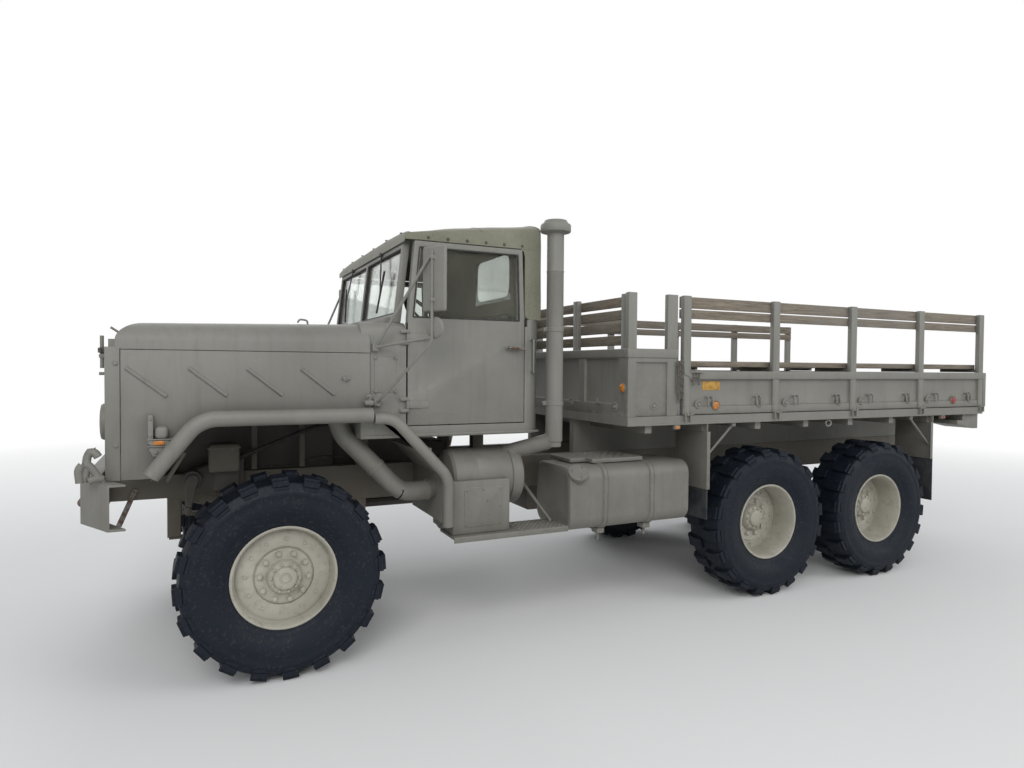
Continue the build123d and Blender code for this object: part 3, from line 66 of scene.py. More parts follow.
# The studio: a pale seamless floor that the truck's shadow falls on, an even white sky, and
# two broad soft lamps, one over the camera's shoulder and one high ahead of the truck.
bpy.ops.object.select_all(action="DESELECT")
bpy.ops.mesh.primitive_plane_add(size=120, location=(0, 0, -0.001))
floor = bpy.context.object
floor.name = "studio_floor"
bpy.ops.object.transform_apply(location=True, rotation=True, scale=True)
floor_paint = bpy.data.materials.new("floor_paint")
floor_paint.use_nodes = True
floor_shader = floor_paint.node_tree.nodes["Principled BSDF"]
floor_shader.inputs["Base Color"].default_value = (0.80, 0.80, 0.79, 1)
floor_shader.inputs["Roughness"].default_value = 0.9
floor.data.materials.append(floor_paint)
bpy.context.scene.view_settings.view_transform = "Standard"
floor_nodes = floor_paint.node_tree.nodes
floor_links = floor_paint.node_tree.links
floor_place = floor_nodes.new("ShaderNodeTexCoord")
from_truck = floor_nodes.new("ShaderNodeVectorMath")
from_truck.operation = "LENGTH"
far_share = floor_nodes.new("ShaderNodeMapRange")
far_share.inputs["From Min"].default_value = 5.5
far_share.inputs["From Max"].default_value = 15.0
lit_floor = floor_nodes.new("ShaderNodeEmission")
lit_floor.inputs["Color"].default_value = (1, 1, 1, 1)
floor_ray = floor_nodes.new("ShaderNodeLightPath")
floor_share = floor_nodes.new("ShaderNodeMath")
floor_share.operation = "MULTIPLY"
floor_mix = floor_nodes.new("ShaderNodeMixShader")
floor_links.new(floor_place.outputs["Object"], from_truck.inputs[0])
floor_links.new(from_truck.outputs["Value"], far_share.inputs["Value"])
floor_links.new(far_share.outputs["Result"], floor_share.inputs[0])
floor_links.new(floor_ray.outputs["Is Camera Ray"], floor_share.inputs[1])
floor_links.new(floor_share.outputs[0], floor_mix.inputs[0])
floor_links.new(floor_shader.outputs[0], floor_mix.inputs[1])
floor_links.new(lit_floor.outputs[0], floor_mix.inputs[2])
floor_links.new(floor_mix.outputs[0], floor_nodes["Material Output"].inputs["Surface"])

sky = bpy.data.worlds.new("studio_sky")
sky.use_nodes = True
bpy.context.scene.world = sky
nodes = sky.node_tree.nodes
links = sky.node_tree.links
soft_sky = nodes["Background"]
soft_sky.inputs["Color"].default_value = (0.93, 0.96, 1.0, 1)
soft_sky.inputs["Strength"].default_value = 0.54
white_sky = nodes.new("ShaderNodeBackground")
white_sky.inputs["Color"].default_value = (1, 1, 1, 1)
white_sky.inputs["Strength"].default_value = 1.0
ray = nodes.new("ShaderNodeLightPath")
seen = nodes.new("ShaderNodeMath")
seen.operation = "MAXIMUM"
links.new(ray.outputs["Is Camera Ray"], seen.inputs[0])
links.new(ray.outputs["Is Glossy Ray"], seen.inputs[1])
seen_through = nodes.new("ShaderNodeMath")
seen_through.operation = "MAXIMUM"
links.new(seen.outputs[0], seen_through.inputs[0])
links.new(ray.outputs["Is Transmission Ray"], seen_through.inputs[1])
sky_mix = nodes.new("ShaderNodeMixShader")
links.new(seen_through.outputs[0], sky_mix.inputs[0])
links.new(soft_sky.outputs[0], sky_mix.inputs[1])
links.new(white_sky.outputs[0], sky_mix.inputs[2])
links.new(sky_mix.outputs[0], nodes["World Output"].inputs["Surface"])

lamps = (
    # name, place, size across, power in watts
    ("key_lamp", (6.5, 11.0, 8.5), 7.0, 780),
    ("fill_lamp", (-7.0, 9.0, 7.0), 7.0, 350),
    ("far_lamp", (1.0, -10.0, 7.5), 8.0, 350),
)
for lamp_name, lamp_place, lamp_size, lamp_power in lamps:
    bpy.ops.object.light_add(type="AREA", location=lamp_place)
    lamp = bpy.context.object
    lamp.name = lamp_name
    lamp.data.size = lamp_size
    lamp.data.energy = lamp_power
    lamp_way = Vector((0, 0, 1.2)) - Vector(lamp_place)
    lamp.rotation_euler = lamp_way.to_track_quat("-Z", "Y").to_euler()


# The tyres: 14.00R20 cross-country tyres of black rubber, with a staggered ring of heavy
# lugs on each half of the tread that turn down over the shoulders. They hold the rims by
# their beads and carry road dust on the tread and round the rim.
def turned(name, outline, steps, axle_point=(0, 0, 0)):
    """Turn a closed outline of (radius, side) points about the wheel's axle."""
    bpy.ops.object.select_all(action="DESELECT")
    bpy.ops.mesh.primitive_plane_add(size=0.01, location=(0, 0, 0))
    piece = bpy.context.object
    piece.name = name
    bpy.ops.object.mode_set(mode="EDIT")
    bpy.ops.mesh.select_mode(type="VERT")
    bpy.ops.mesh.select_all(action="SELECT")
    bpy.ops.mesh.merge(type="CENTER")
    bpy.ops.transform.translate(value=(outline[0][0], outline[0][1], 0))
    for before, after in zip(outline, outline[1:]):
        step = (after[0] - before[0], after[1] - before[1], 0)
        bpy.ops.mesh.extrude_region_move(TRANSFORM_OT_translate={"value": step})
    bpy.ops.mesh.select_all(action="SELECT")
    bpy.ops.mesh.spin(steps=steps, angle=2 * math.pi, center=(0, 0, 0), axis=(0, 1, 0))
    bpy.ops.mesh.select_all(action="SELECT")
    bpy.ops.mesh.remove_doubles(threshold=0.00005)
    bpy.ops.mesh.normals_make_consistent(inside=False)
    bpy.ops.transform.translate(value=axle_point)
    bpy.ops.object.mode_set(mode="OBJECT")
    bpy.ops.object.shade_smooth_by_angle(angle=math.radians(35))
    return piece


def copied(piece, name, placing):
    """A copy of the piece with its own mesh, moved by a matrix and left at the origin."""
    bpy.ops.object.select_all(action="DESELECT")
    piece.select_set(True)
    bpy.context.view_layer.objects.active = piece
    bpy.ops.object.duplicate(linked=False)
    twin = bpy.context.object
    twin.name = name
    twin.data.transform(placing)
    if placing.determinant() < 0:
        twin.data.flip_normals()
    return twin


def joined(name, pieces):
    """Like pieces made into one object."""
    bpy.ops.object.select_all(action="DESELECT")
    for piece in pieces:
        piece.select_set(True)
    bpy.context.view_layer.objects.active = pieces[0]
    if len(pieces) > 1:
        bpy.ops.object.join()
    pieces[0].name = name
    return pieces[0]


def finish_nodes(name, base, rough, metal=0.0):
    """A new material with its shader set, ready for a pattern on Object coordinates."""
    material = bpy.data.materials.new(name)
    material.use_nodes = True
    shader = material.node_tree.nodes["Principled BSDF"]
    shader.inputs["Base Color"].default_value = (*base, 1)
    shader.inputs["Roughness"].default_value = rough
    shader.inputs["Metallic"].default_value = metal
    place = material.node_tree.nodes.new("ShaderNodeTexCoord")
    return material, shader, place.outputs["Object"]


def noise(material, place, scale, detail=4.0, stretch=(1, 1, 1), sharp=0.5):
    """A noise pattern over the piece, stretched along its axes."""
    nodes = material.node_tree.nodes
    links = material.node_tree.links
    mapping = nodes.new("ShaderNodeMapping")
    mapping.inputs["Scale"].default_value = stretch
    links.new(place, mapping.inputs["Vector"])
    pattern = nodes.new("ShaderNodeTexNoise")
    pattern.inputs["Scale"].default_value = scale
    pattern.inputs["Detail"].default_value = detail
    pattern.inputs["Roughness"].default_value = sharp
    links.new(mapping.outputs["Vector"], pattern.inputs["Vector"])
    return pattern.outputs["Fac"]


def ramp(material, value, low, high, start=0.0, end=1.0):
    """Spread the part of a pattern between low and high over start to end."""
    spread = material.node_tree.nodes.new("ShaderNodeMapRange")
    spread.inputs["From Min"].default_value = low
    spread.inputs["From Max"].default_value = high
    spread.inputs["To Min"].default_value = start
    spread.inputs["To Max"].default_value = end
    material.node_tree.links.new(value, spread.inputs["Value"])
    return spread.outputs["Result"]


def times(material, first, second):
    """Two patterns multiplied."""
    product = material.node_tree.nodes.new("ShaderNodeMath")
    product.operation = "MULTIPLY"
    material.node_tree.links.new(first, product.inputs[0])
    material.node_tree.links.new(second, product.inputs[1])
    return product.outputs[0]


def layered(material, share, under, over):
    """Colour over laid on colour under, by a pattern. Either may be a socket or three numbers."""
    mix = material.node_tree.nodes.new("ShaderNodeMix")
    mix.data_type = "RGBA"
    for value, socket in ((under, mix.inputs[6]), (over, mix.inputs[7])):
        if isinstance(value, tuple):
            socket.default_value = (*value, 1)
        else:
            material.node_tree.links.new(value, socket)
    material.node_tree.links.new(share, mix.inputs[0])
    return mix.outputs[2]


def bumped(material, shader, height, strength, distance, under=None):
    """Raise the surface by a pattern."""
    bump = material.node_tree.nodes.new("ShaderNodeBump")
    bump.inputs["Strength"].default_value = strength
    bump.inputs["Distance"].default_value = distance
    material.node_tree.links.new(height, bump.inputs["Height"])
    if under is not None:
        material.node_tree.links.new(under, bump.inputs["Normal"])
    material.node_tree.links.new(bump.outputs["Normal"], shader.inputs["Normal"])
    return bump.outputs["Normal"]


def height_share(material, place, low, high):
    """1 at the height low and 0 at the height high, for dust that lies on the lower parts."""
    split = material.node_tree.nodes.new("ShaderNodeSeparateXYZ")
    material.node_tree.links.new(place, split.inputs["Vector"])
    return ramp(material, split.outputs["Z"], low, high, 1.0, 0.0)


tyre_rubber, rubber_shader, rubber_place = finish_nodes("tyre_rubber", (0.012, 0.016, 0.022), 0.82)
dust_patches = ramp(tyre_rubber, noise(tyre_rubber, rubber_place, 3.0, 8.0, sharp=0.7), 0.45, 0.75, 0.0, 0.55)
rubber_shader.inputs["Specular IOR Level"].default_value = 0.25
rubber_grey = layered(tyre_rubber, dust_patches, (0.003, 0.006, 0.012), (0.014, 0.019, 0.028))
dust_specks = ramp(tyre_rubber, noise(tyre_rubber, rubber_place, 60.0, 6.0), 0.56, 0.80, 0.0, 0.20)
rubber_dusty = layered(tyre_rubber, dust_specks, rubber_grey, (0.14, 0.12, 0.09))
tyre_rubber.node_tree.links.new(rubber_dusty, rubber_shader.inputs["Base Color"])
rubber_dull = ramp(tyre_rubber, dust_patches, 0.0, 0.6, 0.55, 0.95)
tyre_rubber.node_tree.links.new(rubber_dull, rubber_shader.inputs["Roughness"])
bumped(tyre_rubber, rubber_shader, noise(tyre_rubber, rubber_place, 180.0, 3.0), 0.25, 0.002)

tread_radius = tyre_high.x - axle_x
tread_base = tread_radius - 0.026
tyre_half = (tyre_high.y - tyre_low.y) / 2
tyre_outline = (
    # radius and side, from the middle of the tread over the shoulder and the bulge to the bead
    (tread_base, 0.0),
    (tread_base, 0.06),
    (tread_base - 0.004, 0.12),
    (tread_base - 0.014, 0.160),
    (tread_base - 0.034, 0.174),
    (0.535, 0.181),
    (0.528, 0.185),
    (0.506, 0.186),
    (0.500, 0.1835),
    (0.470, tyre_half),
    (0.430, 0.184),
    (0.395, 0.174),
    (0.368, 0.160),
    (0.352, 0.150),
    (0.344, 0.149),
    (0.336, 0.142),
    (0.326, 0.139),
    (0.316, 0.136),
    (0.313, 0.124),
)
mirrored = tuple((radius, -across) for radius, across in reversed(tyre_outline[1:]))
casing = turned("tyre_casing", tyre_outline + mirrored + (tyre_outline[0],), 96)
lug_length = 0.150
lug_pitch = 2 * math.pi / 20
bpy.ops.object.select_all(action="DESELECT")
lug_middle = (0, 0.088, tread_base + 0.008)
bpy.ops.mesh.primitive_cube_add(size=1, location=lug_middle, scale=(0.094, lug_length, 0.034))
lug = bpy.context.object
bpy.ops.object.transform_apply(location=True, rotation=True, scale=True)
bpy.ops.object.mode_set(mode="EDIT")
bpy.ops.mesh.subdivide(number_cuts=1)
bpy.ops.object.mode_set(mode="OBJECT")
for face in lug.data.polygons:
    face.select = face.normal.y > 0.9
for edge in lug.data.edges:
    edge.select = False
bpy.ops.object.mode_set(mode="EDIT")
bpy.ops.mesh.select_mode(type="FACE")
bpy.ops.mesh.extrude_region_move(TRANSFORM_OT_translate={"value": (0, 0.016, -0.018)})
bpy.ops.mesh.extrude_region_move(TRANSFORM_OT_translate={"value": (0, 0.004, -0.030)})
bpy.ops.transform.resize(value=(0.86, 1, 0.6))
bpy.ops.mesh.select_all(action="DESELECT")
bpy.ops.object.mode_set(mode="OBJECT")
for point in lug.data.vertices:
    share = (point.co.y - 0.013) / lug_length
    point.co.x += 0.020 * (0.5 - abs(share - 0.5)) - 0.010
    point.co.x *= 0.84 + 0.18 * min(1.0, share)
    drop = 0.005 * max(0.0, share - 0.35)
    point.co.z -= drop
bpy.context.view_layer.objects.active = lug
bpy.ops.object.modifier_add(type="BEVEL")
lug.modifiers[-1].width = 0.004
lug.modifiers[-1].segments = 2
lug.modifiers[-1].limit_method = "ANGLE"
lug.modifiers[-1].angle_limit = math.radians(40)
bpy.ops.object.modifier_apply(modifier=lug.modifiers[-1].name)
tread = [casing]
for number in range(20):
    turn = Matrix.Rotation(number * lug_pitch, 4, "Y")
    half_turn = Matrix.Rotation((number + 0.5) * lug_pitch, 4, "Y")
    tread.append(copied(lug, "lug", turn))
    tread.append(copied(lug, "lug", half_turn @ Matrix.Scale(-1, 4, (0, 1, 0))))
bpy.data.objects.remove(lug)
plain_tyre = joined("plain_tyre", tread)
plain_tyre.data.materials.clear()
plain_tyre.data.materials.append(tyre_rubber)

# The wheels: heavy pressed steel rims with a bolted disc, painted cream over the old tan.
# The front discs stand outboard with the hub proud of them, the rear ones are deeply dished
# and show the inside of the barrel, with the hub and the brake drum at the bottom.
wheel_paint, wheel_shader, wheel_place = finish_nodes("wheel_paint", (0.43, 0.40, 0.31), 0.62)
chalky = noise(wheel_paint, wheel_place, 4.0, 6.0)
cream_share = ramp(wheel_paint, chalky, 0.35, 0.65)
cream = layered(wheel_paint, cream_share, (0.31, 0.295, 0.245), (0.40, 0.385, 0.325))
rim_dirt = ramp(wheel_paint, noise(wheel_paint, wheel_place, 14.0, 8.0, sharp=0.75), 0.52, 0.72, 0.0, 0.75)
cream = layered(wheel_paint, rim_dirt, cream, (0.20, 0.165, 0.12))
chips = ramp(wheel_paint, noise(wheel_paint, wheel_place, 55.0, 10.0, sharp=0.8), 0.66, 0.70, 0.0, 0.8)
cream = layered(wheel_paint, chips, cream, (0.13, 0.085, 0.055))
wheel_paint.node_tree.links.new(cream, wheel_shader.inputs["Base Color"])
wheel_rough = ramp(wheel_paint, chalky, 0.3, 0.7, 0.5, 0.75)
wheel_paint.node_tree.links.new(wheel_rough, wheel_shader.inputs["Roughness"])
bumped(wheel_paint, wheel_shader, noise(wheel_paint, wheel_place, 240.0, 2.0), 0.12, 0.001)

drum_iron, drum_shader, drum_place = finish_nodes("drum_iron", (0.05, 0.045, 0.04), 0.7, 0.4)
drum_rust = ramp(drum_iron, noise(drum_iron, drum_place, 20.0, 8.0, sharp=0.7), 0.45, 0.65, 0.0, 0.8)
drum_colour = layered(drum_iron, drum_rust, (0.045, 0.042, 0.040), (0.13, 0.085, 0.055))
drum_iron.node_tree.links.new(drum_colour, drum_shader.inputs["Base Color"])
bumped(drum_iron, drum_shader, noise(drum_iron, drum_place, 90.0, 5.0), 0.3, 0.002)


def hex_bolt(name, radius, height, washer=1.35):
    """A six-sided bolt head on its washer, standing on the XZ plane and pointing along +Y."""
    bpy.ops.object.select_all(action="DESELECT")
    turn = (math.radians(-90), 0, 0)
    bpy.ops.mesh.primitive_cylinder_add(
        vertices=12,
        radius=radius * washer,
        depth=height * 0.24,
        location=(0, height * 0.12, 0),
        rotation=turn,
    )
    disc = bpy.context.object
    bpy.ops.object.transform_apply(location=True, rotation=True, scale=True)
    bpy.ops.mesh.primitive_cylinder_add(
        vertices=6, radius=radius, depth=height, location=(0, height * 0.5, 0), rotation=turn
    )
    head = bpy.context.object
    bpy.ops.object.transform_apply(location=True, rotation=True, scale=True)
    for face in head.data.polygons:
        face.select = face.normal.y > 0.9
    bpy.ops.object.mode_set(mode="EDIT")
    bpy.ops.mesh.select_mode(type="FACE")
    bpy.ops.mesh.inset(thickness=radius * 0.18)
    bpy.ops.transform.translate(value=(0, height * 0.12, 0))
    bpy.ops.object.mode_set(mode="OBJECT")
    return joined(name, [disc, head])


rim_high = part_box("wheel_front_left")[1]
rim_radius = rim_high.x - axle_x
half_rim = 0.140
barrel = (
    # radius and side of the rim's closed section, outer face first
    (rim_radius - 0.001, 0.127),
    (rim_radius + 0.0, half_rim),
    (rim_radius - 0.006, half_rim + 0.003),
    (rim_radius - 0.014, half_rim),
    (rim_radius - 0.022, half_rim - 0.012),
    (rim_radius - 0.030, 0.085),
    (rim_radius - 0.038, 0.030),
    (rim_radius - 0.038, -0.080),
    (rim_radius - 0.024, -0.125),
    (rim_radius - 0.010, -half_rim),
    (rim_radius - 0.002, -half_rim),
    (rim_radius - 0.001, -0.127),
    (rim_radius - 0.022, -0.075),
    (rim_radius - 0.024, 0.080),
    (rim_radius - 0.001, 0.127),
)
front_disc = (
    # radius and side, from the rim over the bolted ring, the groove, the hub and its cap
    (0.289, 0.062),
    (0.280, 0.070),
    (0.262, 0.075),
    (0.186, 0.083),
    (0.178, 0.082),
    (0.175, 0.074),
    (0.169, 0.074),
    (0.166, 0.089),
    (0.160, 0.092),
    (0.110, 0.094),
    (0.104, 0.100),
    (0.100, 0.126),
    (0.092, 0.137),
    (0.074, 0.141),
    (0.069, 0.148),
    (0.066, 0.160),
    (0.056, 0.167),
    (0.036, 0.168),
    (0.033, 0.162),
    (0.024, 0.162),
    (0.021, 0.168),
    (0.0, 0.168),
    (0.0, 0.060),
    (0.180, 0.060),
    (0.289, 0.050),
    (0.289, 0.062),
)
rear_disc = (
    (0.289, -0.072),
    (0.275, -0.070),
    (0.205, -0.064),
    (0.200, -0.056),
    (0.165, -0.056),
    (0.160, -0.062),
    (0.118, -0.060),
    (0.110, -0.050),
    (0.104, -0.026),
    (0.094, -0.015),
    (0.074, -0.011),
    (0.069, -0.004),
    (0.066, 0.006),
    (0.056, 0.013),
    (0.0, 0.014),
    (0.0, -0.088),
    (0.180, -0.088),
    (0.289, -0.084),
    (0.289, -0.072),
)
brake_drum = (
    (0.202, -0.088),
    (0.204, -0.140),
    (0.214, -0.144),
    (0.214, -0.170),
    (0.196, -0.174),
    (0.060, -0.174),
    (0.060, -0.160),
    (0.180, -0.158),
    (0.180, -0.088),
    (0.202, -0.088),
)
lug_nut = hex_bolt("lug_nut", 0.0165, 0.022)
rim_bolt = hex_bolt("rim_bolt", 0.0095, 0.010)
hub_bolt = hex_bolt("hub_bolt", 0.0085, 0.012)
bolt_rings = (
    # bolt, how many, radius of the ring, side of its seat on the front wheel and on the rear
    (lug_nut, 10, 0.143, 0.091, -0.061),
    (rim_bolt, 12, 0.223, 0.078, -0.066),
    (hub_bolt, 10, 0.083, 0.138, -0.013),
)
plain_wheels = {}
for kind, disc_outline, seat_column in (("front", front_disc, 3), ("rear", rear_disc, 4)):
    pieces = [turned("barrel", barrel, 72), turned("disc", disc_outline, 72)]
    for ring in bolt_rings:
        for number in range(ring[1]):
            angle = 2 * math.pi * (number + 0.25) / ring[1]
            place = Vector((ring[2] * math.cos(angle), ring[seat_column], ring[2] * math.sin(angle)))
            pieces.append(copied(ring[0], "bolt", Matrix.Translation(place)))
    for piece in pieces:
        piece.data.materials.clear()
        piece.data.materials.append(wheel_paint)
    drum_shift = 0.142 if kind == "front" else 0
    drum = turned("drum", tuple((r, a + drum_shift) for r, a in brake_drum), 48)
    drum.data.materials.append(drum_iron)
    plain_wheels[kind] = joined("plain_" + kind, pieces + [drum])
for bolt in (lug_nut, rim_bolt, hub_bolt):
    bpy.data.objects.remove(bolt)

wheel_places = (
    # name of the wheel, kind, turn of the tyre's pattern in degrees
    ("front_left", "front", 4),
    ("front_right", "front", 11),
    ("middle_left", "rear", 7),
    ("middle_right", "rear", 2),
    ("rear_left", "rear", 13),
    ("rear_right", "rear", 9),
)
for name, kind, degrees in wheel_places:
    low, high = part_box("tyre_" + name)
    centre = (low + high) / 2
    placing = Matrix.Translation(centre) @ Matrix.Rotation(math.radians(degrees), 4, "Y")
    if centre.y < 0:
        placing = placing @ Matrix.Scale(-1, 4, (0, 1, 0))
    tyre = copied(plain_tyre, "tyre_dressed_" + name, placing)
    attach(tyre, "wheel_" + name)
    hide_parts("tyre_" + name)
    rim = copied(plain_wheels[kind], "wheel_dressed_" + name, placing)
    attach(rim, "wheel_" + name)
    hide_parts("wheel_" + name)
bpy.data.objects.remove(plain_tyre)
for plain_wheel in plain_wheels.values():
    bpy.data.objects.remove(plain_wheel)


# The frame and its running gear: riveted channel rails, drive axles, leaf springs and shafts,
# all forged or pressed steel, sprayed tan once and since covered with road dust and oil.
def dusty_paint(name, base, pale, grime, rough, wear=0.35, dust_from=1.9, dust_to=0.5, edge=0.004):
    """Flat sprayed paint: cloudy tone, dust that gathers low down, streaks, chips along the edges."""
    material, shader, place = finish_nodes(name, base, rough)
    links = material.node_tree.links
    clouds = ramp(material, noise(material, place, 1.6, 5.0, sharp=0.6), 0.35, 0.68)
    colour = layered(material, clouds, base, pale)
    streaks = noise(material, place, 9.0, 6.0, stretch=(1.6, 1.6, 0.16), sharp=0.65)
    streak_share = ramp(material, streaks, 0.50, 0.78, 0.0, 0.45)
    colour = layered(material, streak_share, colour, grime)
    low_dust = times(
        material,
        height_share(material, place, dust_to, dust_from),
        ramp(material, noise(material, place, 5.0, 8.0, sharp=0.7), 0.35, 0.65, 0.15, 0.75),
    )
    colour = layered(material, low_dust, colour, grime)
    specks = ramp(material, noise(material, place, 70.0, 8.0, sharp=0.75), 0.63, 0.70, 0.0, 0.5)
    colour = layered(material, specks, colour, grime)
    geometry = material.node_tree.nodes.new("ShaderNodeNewGeometry")
    rounded_edge = material.node_tree.nodes.new("ShaderNodeBevel")
    rounded_edge.samples = 4
    rounded_edge.inputs["Radius"].default_value = edge
    flatness = material.node_tree.nodes.new("ShaderNodeVectorMath")
    flatness.operation = "DOT_PRODUCT"
    links.new(rounded_edge.outputs["Normal"], flatness.inputs[0])
    links.new(geometry.outputs["True Normal"], flatness.inputs[1])
    on_edge = ramp(material, flatness.outputs["Value"], 0.985, 0.90, 0.0, 1.0)
    worn = times(material, on_edge, ramp(material, noise(material, place, 24.0, 8.0), 0.42, 0.62, 0.0, wear))
    colour = layered(material, worn, colour, (0.36, 0.34, 0.30))
    links.new(colour, shader.inputs["Base Color"])
    links.new(ramp(material, clouds, 0.0, 1.0, rough - 0.07, rough + 0.08), shader.inputs["Roughness"])
    dents = noise(material, place, 2.4, 2.0)
    dents = bumped(material, shader, dents, 0.35, 0.012, rounded_edge.outputs["Normal"])
    bumped(material, shader, noise(material, place, 260.0, 2.0), 0.10, 0.001, dents)
    return material


def repaint(material, *node_names):
    """Give CAD nodes their finish."""
    for node_name in node_names:
        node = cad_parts[node_name]
        node.data.materials.clear()
        node.data.materials.append(material)


frame_paint = dusty_paint(
    "frame_paint", (0.105, 0.098, 0.080), (0.15, 0.14, 0.115), (0.13, 0.105, 0.075), 0.75
)
oily_iron = dusty_paint("oily_iron", (0.035, 0.034, 0.032), (0.075, 0.070, 0.062), (0.11, 0.09, 0.065), 0.6)
repaint(frame_paint, "springs")

# The truck's own paint: a flat sand tan, sprayed over everything with a gun, chalky in the
# sun and greyer low down.
tan_paint = dusty_paint(
    "tan_paint", (0.162, 0.159, 0.141), (0.203, 0.199, 0.178), (0.115, 0.102, 0.080), 0.55
)
repaint(tan_paint, "bed_floor")

# The tilting hood: one pressed-steel cover over flat side panels, hinged at its lower front.
# The sides carry slanting pressed ribs, and the wheel arch ends in a rolled lip. The front
# frame is a separate strip, bolted on and standing a little proud of the cover's nose.
def traced(name, points):
    """A line of edges through the points, left in edit mode with all of it selected."""
    bpy.ops.object.select_all(action="DESELECT")
    bpy.ops.mesh.primitive_plane_add(size=0.01, location=(0, 0, 0))
    piece = bpy.context.object
    piece.name = name
    bpy.ops.object.mode_set(mode="EDIT")
    bpy.ops.mesh.select_mode(type="VERT")
    bpy.ops.mesh.select_all(action="SELECT")
    bpy.ops.mesh.merge(type="CENTER")
    bpy.ops.transform.translate(value=points[0])
    for before, after in zip(points, points[1:]):
        step = tuple(b - a for a, b in zip(before, after))
        bpy.ops.mesh.extrude_region_move(TRANSFORM_OT_translate={"value": step})
    bpy.ops.mesh.select_all(action="SELECT")
    return piece


def broken_edges(piece, width, segments=2, angle=30):
    """Round off the piece's edges that turn by more than an angle."""
    bpy.ops.object.select_all(action="DESELECT")
    piece.select_set(True)
    bpy.context.view_layer.objects.active = piece
    bpy.ops.object.modifier_add(type="BEVEL")
    bevel = piece.modifiers[-1]
    bevel.width = width
    bevel.segments = segments
    bevel.limit_method = "ANGLE"
    bevel.angle_limit = math.radians(angle)
    bpy.ops.object.modifier_apply(modifier=bevel.name)
    bpy.ops.object.shade_smooth_by_angle(angle=math.radians(35))
    return piece


def cut_plate(name, outline, thickness, edge=0.003, segments=2):
    """A plate cut to a closed outline of points, thickened along a vector, its edges rounded."""
    piece = traced(name, outline)
    bpy.ops.mesh.edge_face_add()
    bpy.ops.mesh.extrude_region_move(TRANSFORM_OT_translate={"value": thickness})
    bpy.ops.mesh.select_all(action="SELECT")
    bpy.ops.mesh.normals_make_consistent(inside=False)
    bpy.ops.object.mode_set(mode="OBJECT")
    return broken_edges(piece, edge, segments)


def squared(name, low, high, edge=0.004, segments=2):
    """A square-edged piece between two opposite corners, its edges rounded."""
    bpy.ops.object.select_all(action="DESELECT")
    middle = [(a + b) / 2 for a, b in zip(low, high)]
    size = [abs(b - a) for a, b in zip(low, high)]
    bpy.ops.mesh.primitive_cube_add(size=1, location=middle, scale=size)
    piece = bpy.context.object
    piece.name = name
    bpy.ops.object.transform_apply(location=True, rotation=True, scale=True)
    return broken_edges(piece, edge, segments)


def bent_bar(name, points, radius, bend=0.0, round_sides=3, bend_steps=4):
    """A round bar or tube along the points, with its corners bent to a radius."""
    piece = traced(name, points)
    if bend > 0:
        bpy.ops.object.mode_set(mode="OBJECT")
        ends = (Vector(points[0]), Vector(points[-1]))
        for point in piece.data.vertices:
            point.select = min((point.co - end).length for end in ends) > 1e-5
        bpy.ops.object.mode_set(mode="EDIT")
        bpy.ops.mesh.bevel(offset=bend, segments=bend_steps, affect="VERTICES")
    bpy.ops.object.mode_set(mode="OBJECT")
    bpy.ops.object.convert(target="CURVE")
    piece = bpy.context.object
    piece.data.dimensions = "3D"
    piece.data.bevel_depth = radius
    piece.data.bevel_resolution = round_sides
    piece.data.use_fill_caps = True
    bpy.ops.object.convert(target="MESH")
    piece = bpy.context.object
    bpy.ops.object.mode_set(mode="EDIT")
    bpy.ops.mesh.select_all(action="SELECT")
    bpy.ops.mesh.remove_doubles(threshold=0.00005)
    bpy.ops.mesh.normals_make_consistent(inside=False)
    bpy.ops.object.mode_set(mode="OBJECT")
    bpy.ops.object.shade_smooth_by_angle(angle=math.radians(50))
    return piece


def picked(piece, kind, test):
    """Select only the piece's vertices, edges or faces that pass a test, and enter edit mode."""
    bpy.ops.object.select_all(action="DESELECT")
    piece.select_set(True)
    bpy.context.view_layer.objects.active = piece
    bpy.ops.object.mode_set(mode="EDIT")
    bpy.ops.mesh.select_mode(type=kind)
    bpy.ops.mesh.select_all(action="DESELECT")
    bpy.ops.object.mode_set(mode="OBJECT")
    points = piece.data.vertices
    if kind == "VERT":
        for point in points:
            point.select = test(point.co)
    if kind == "EDGE":
        for edge in piece.data.edges:
            edge.select = test(*[points[index].co for index in edge.vertices])
    if kind == "FACE":
        for face in piece.data.polygons:
            face.select = test(face.center, face.normal)
    bpy.ops.object.mode_set(mode="EDIT")


def dressed(piece, material, body):
    """Give a finished piece its paint and the body that it rides on."""
    piece.data.materials.clear()
    piece.data.materials.append(material)
    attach(piece, body)
    return piece


hood_low, hood_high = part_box("hood_shell")
hood_half = 1.105
strip_front = hood_high.x
cover_nose = strip_front - 0.048
hood_rear = hood_low.x
seam_z = 1.972
crown_z = hood_high.z
arch_z = hood_low.z + 0.316
lip_front = axle_x + 0.709
lip_corner = axle_x + 0.463
bpy.ops.object.select_all(action="DESELECT")
cover_low = Vector((hood_rear, -hood_half - 0.003, seam_z + 0.003))
cover_high = Vector((cover_nose, hood_half + 0.003, crown_z))
bpy.ops.mesh.primitive_cube_add(size=1, location=(cover_low + cover_high) / 2, scale=cover_high - cover_low)
cover = bpy.context.object
cover.name = "hood_cover"
bpy.ops.object.transform_apply(location=True, rotation=True, scale=True)
picked(
    cover,
    "EDGE",
    lambda a, b: a.z > crown_z - 0.01
    and b.z > crown_z - 0.01
    and (abs(a.y - b.y) < 0.01 or min(a.x, b.x) > cover_nose - 0.01),
)
bpy.ops.mesh.bevel(offset=0.135, segments=10, profile=0.5)
bpy.ops.object.mode_set(mode="OBJECT")
picked(cover, "FACE", lambda centre, normal: normal.z < -0.9)
bpy.ops.mesh.delete(type="FACE")
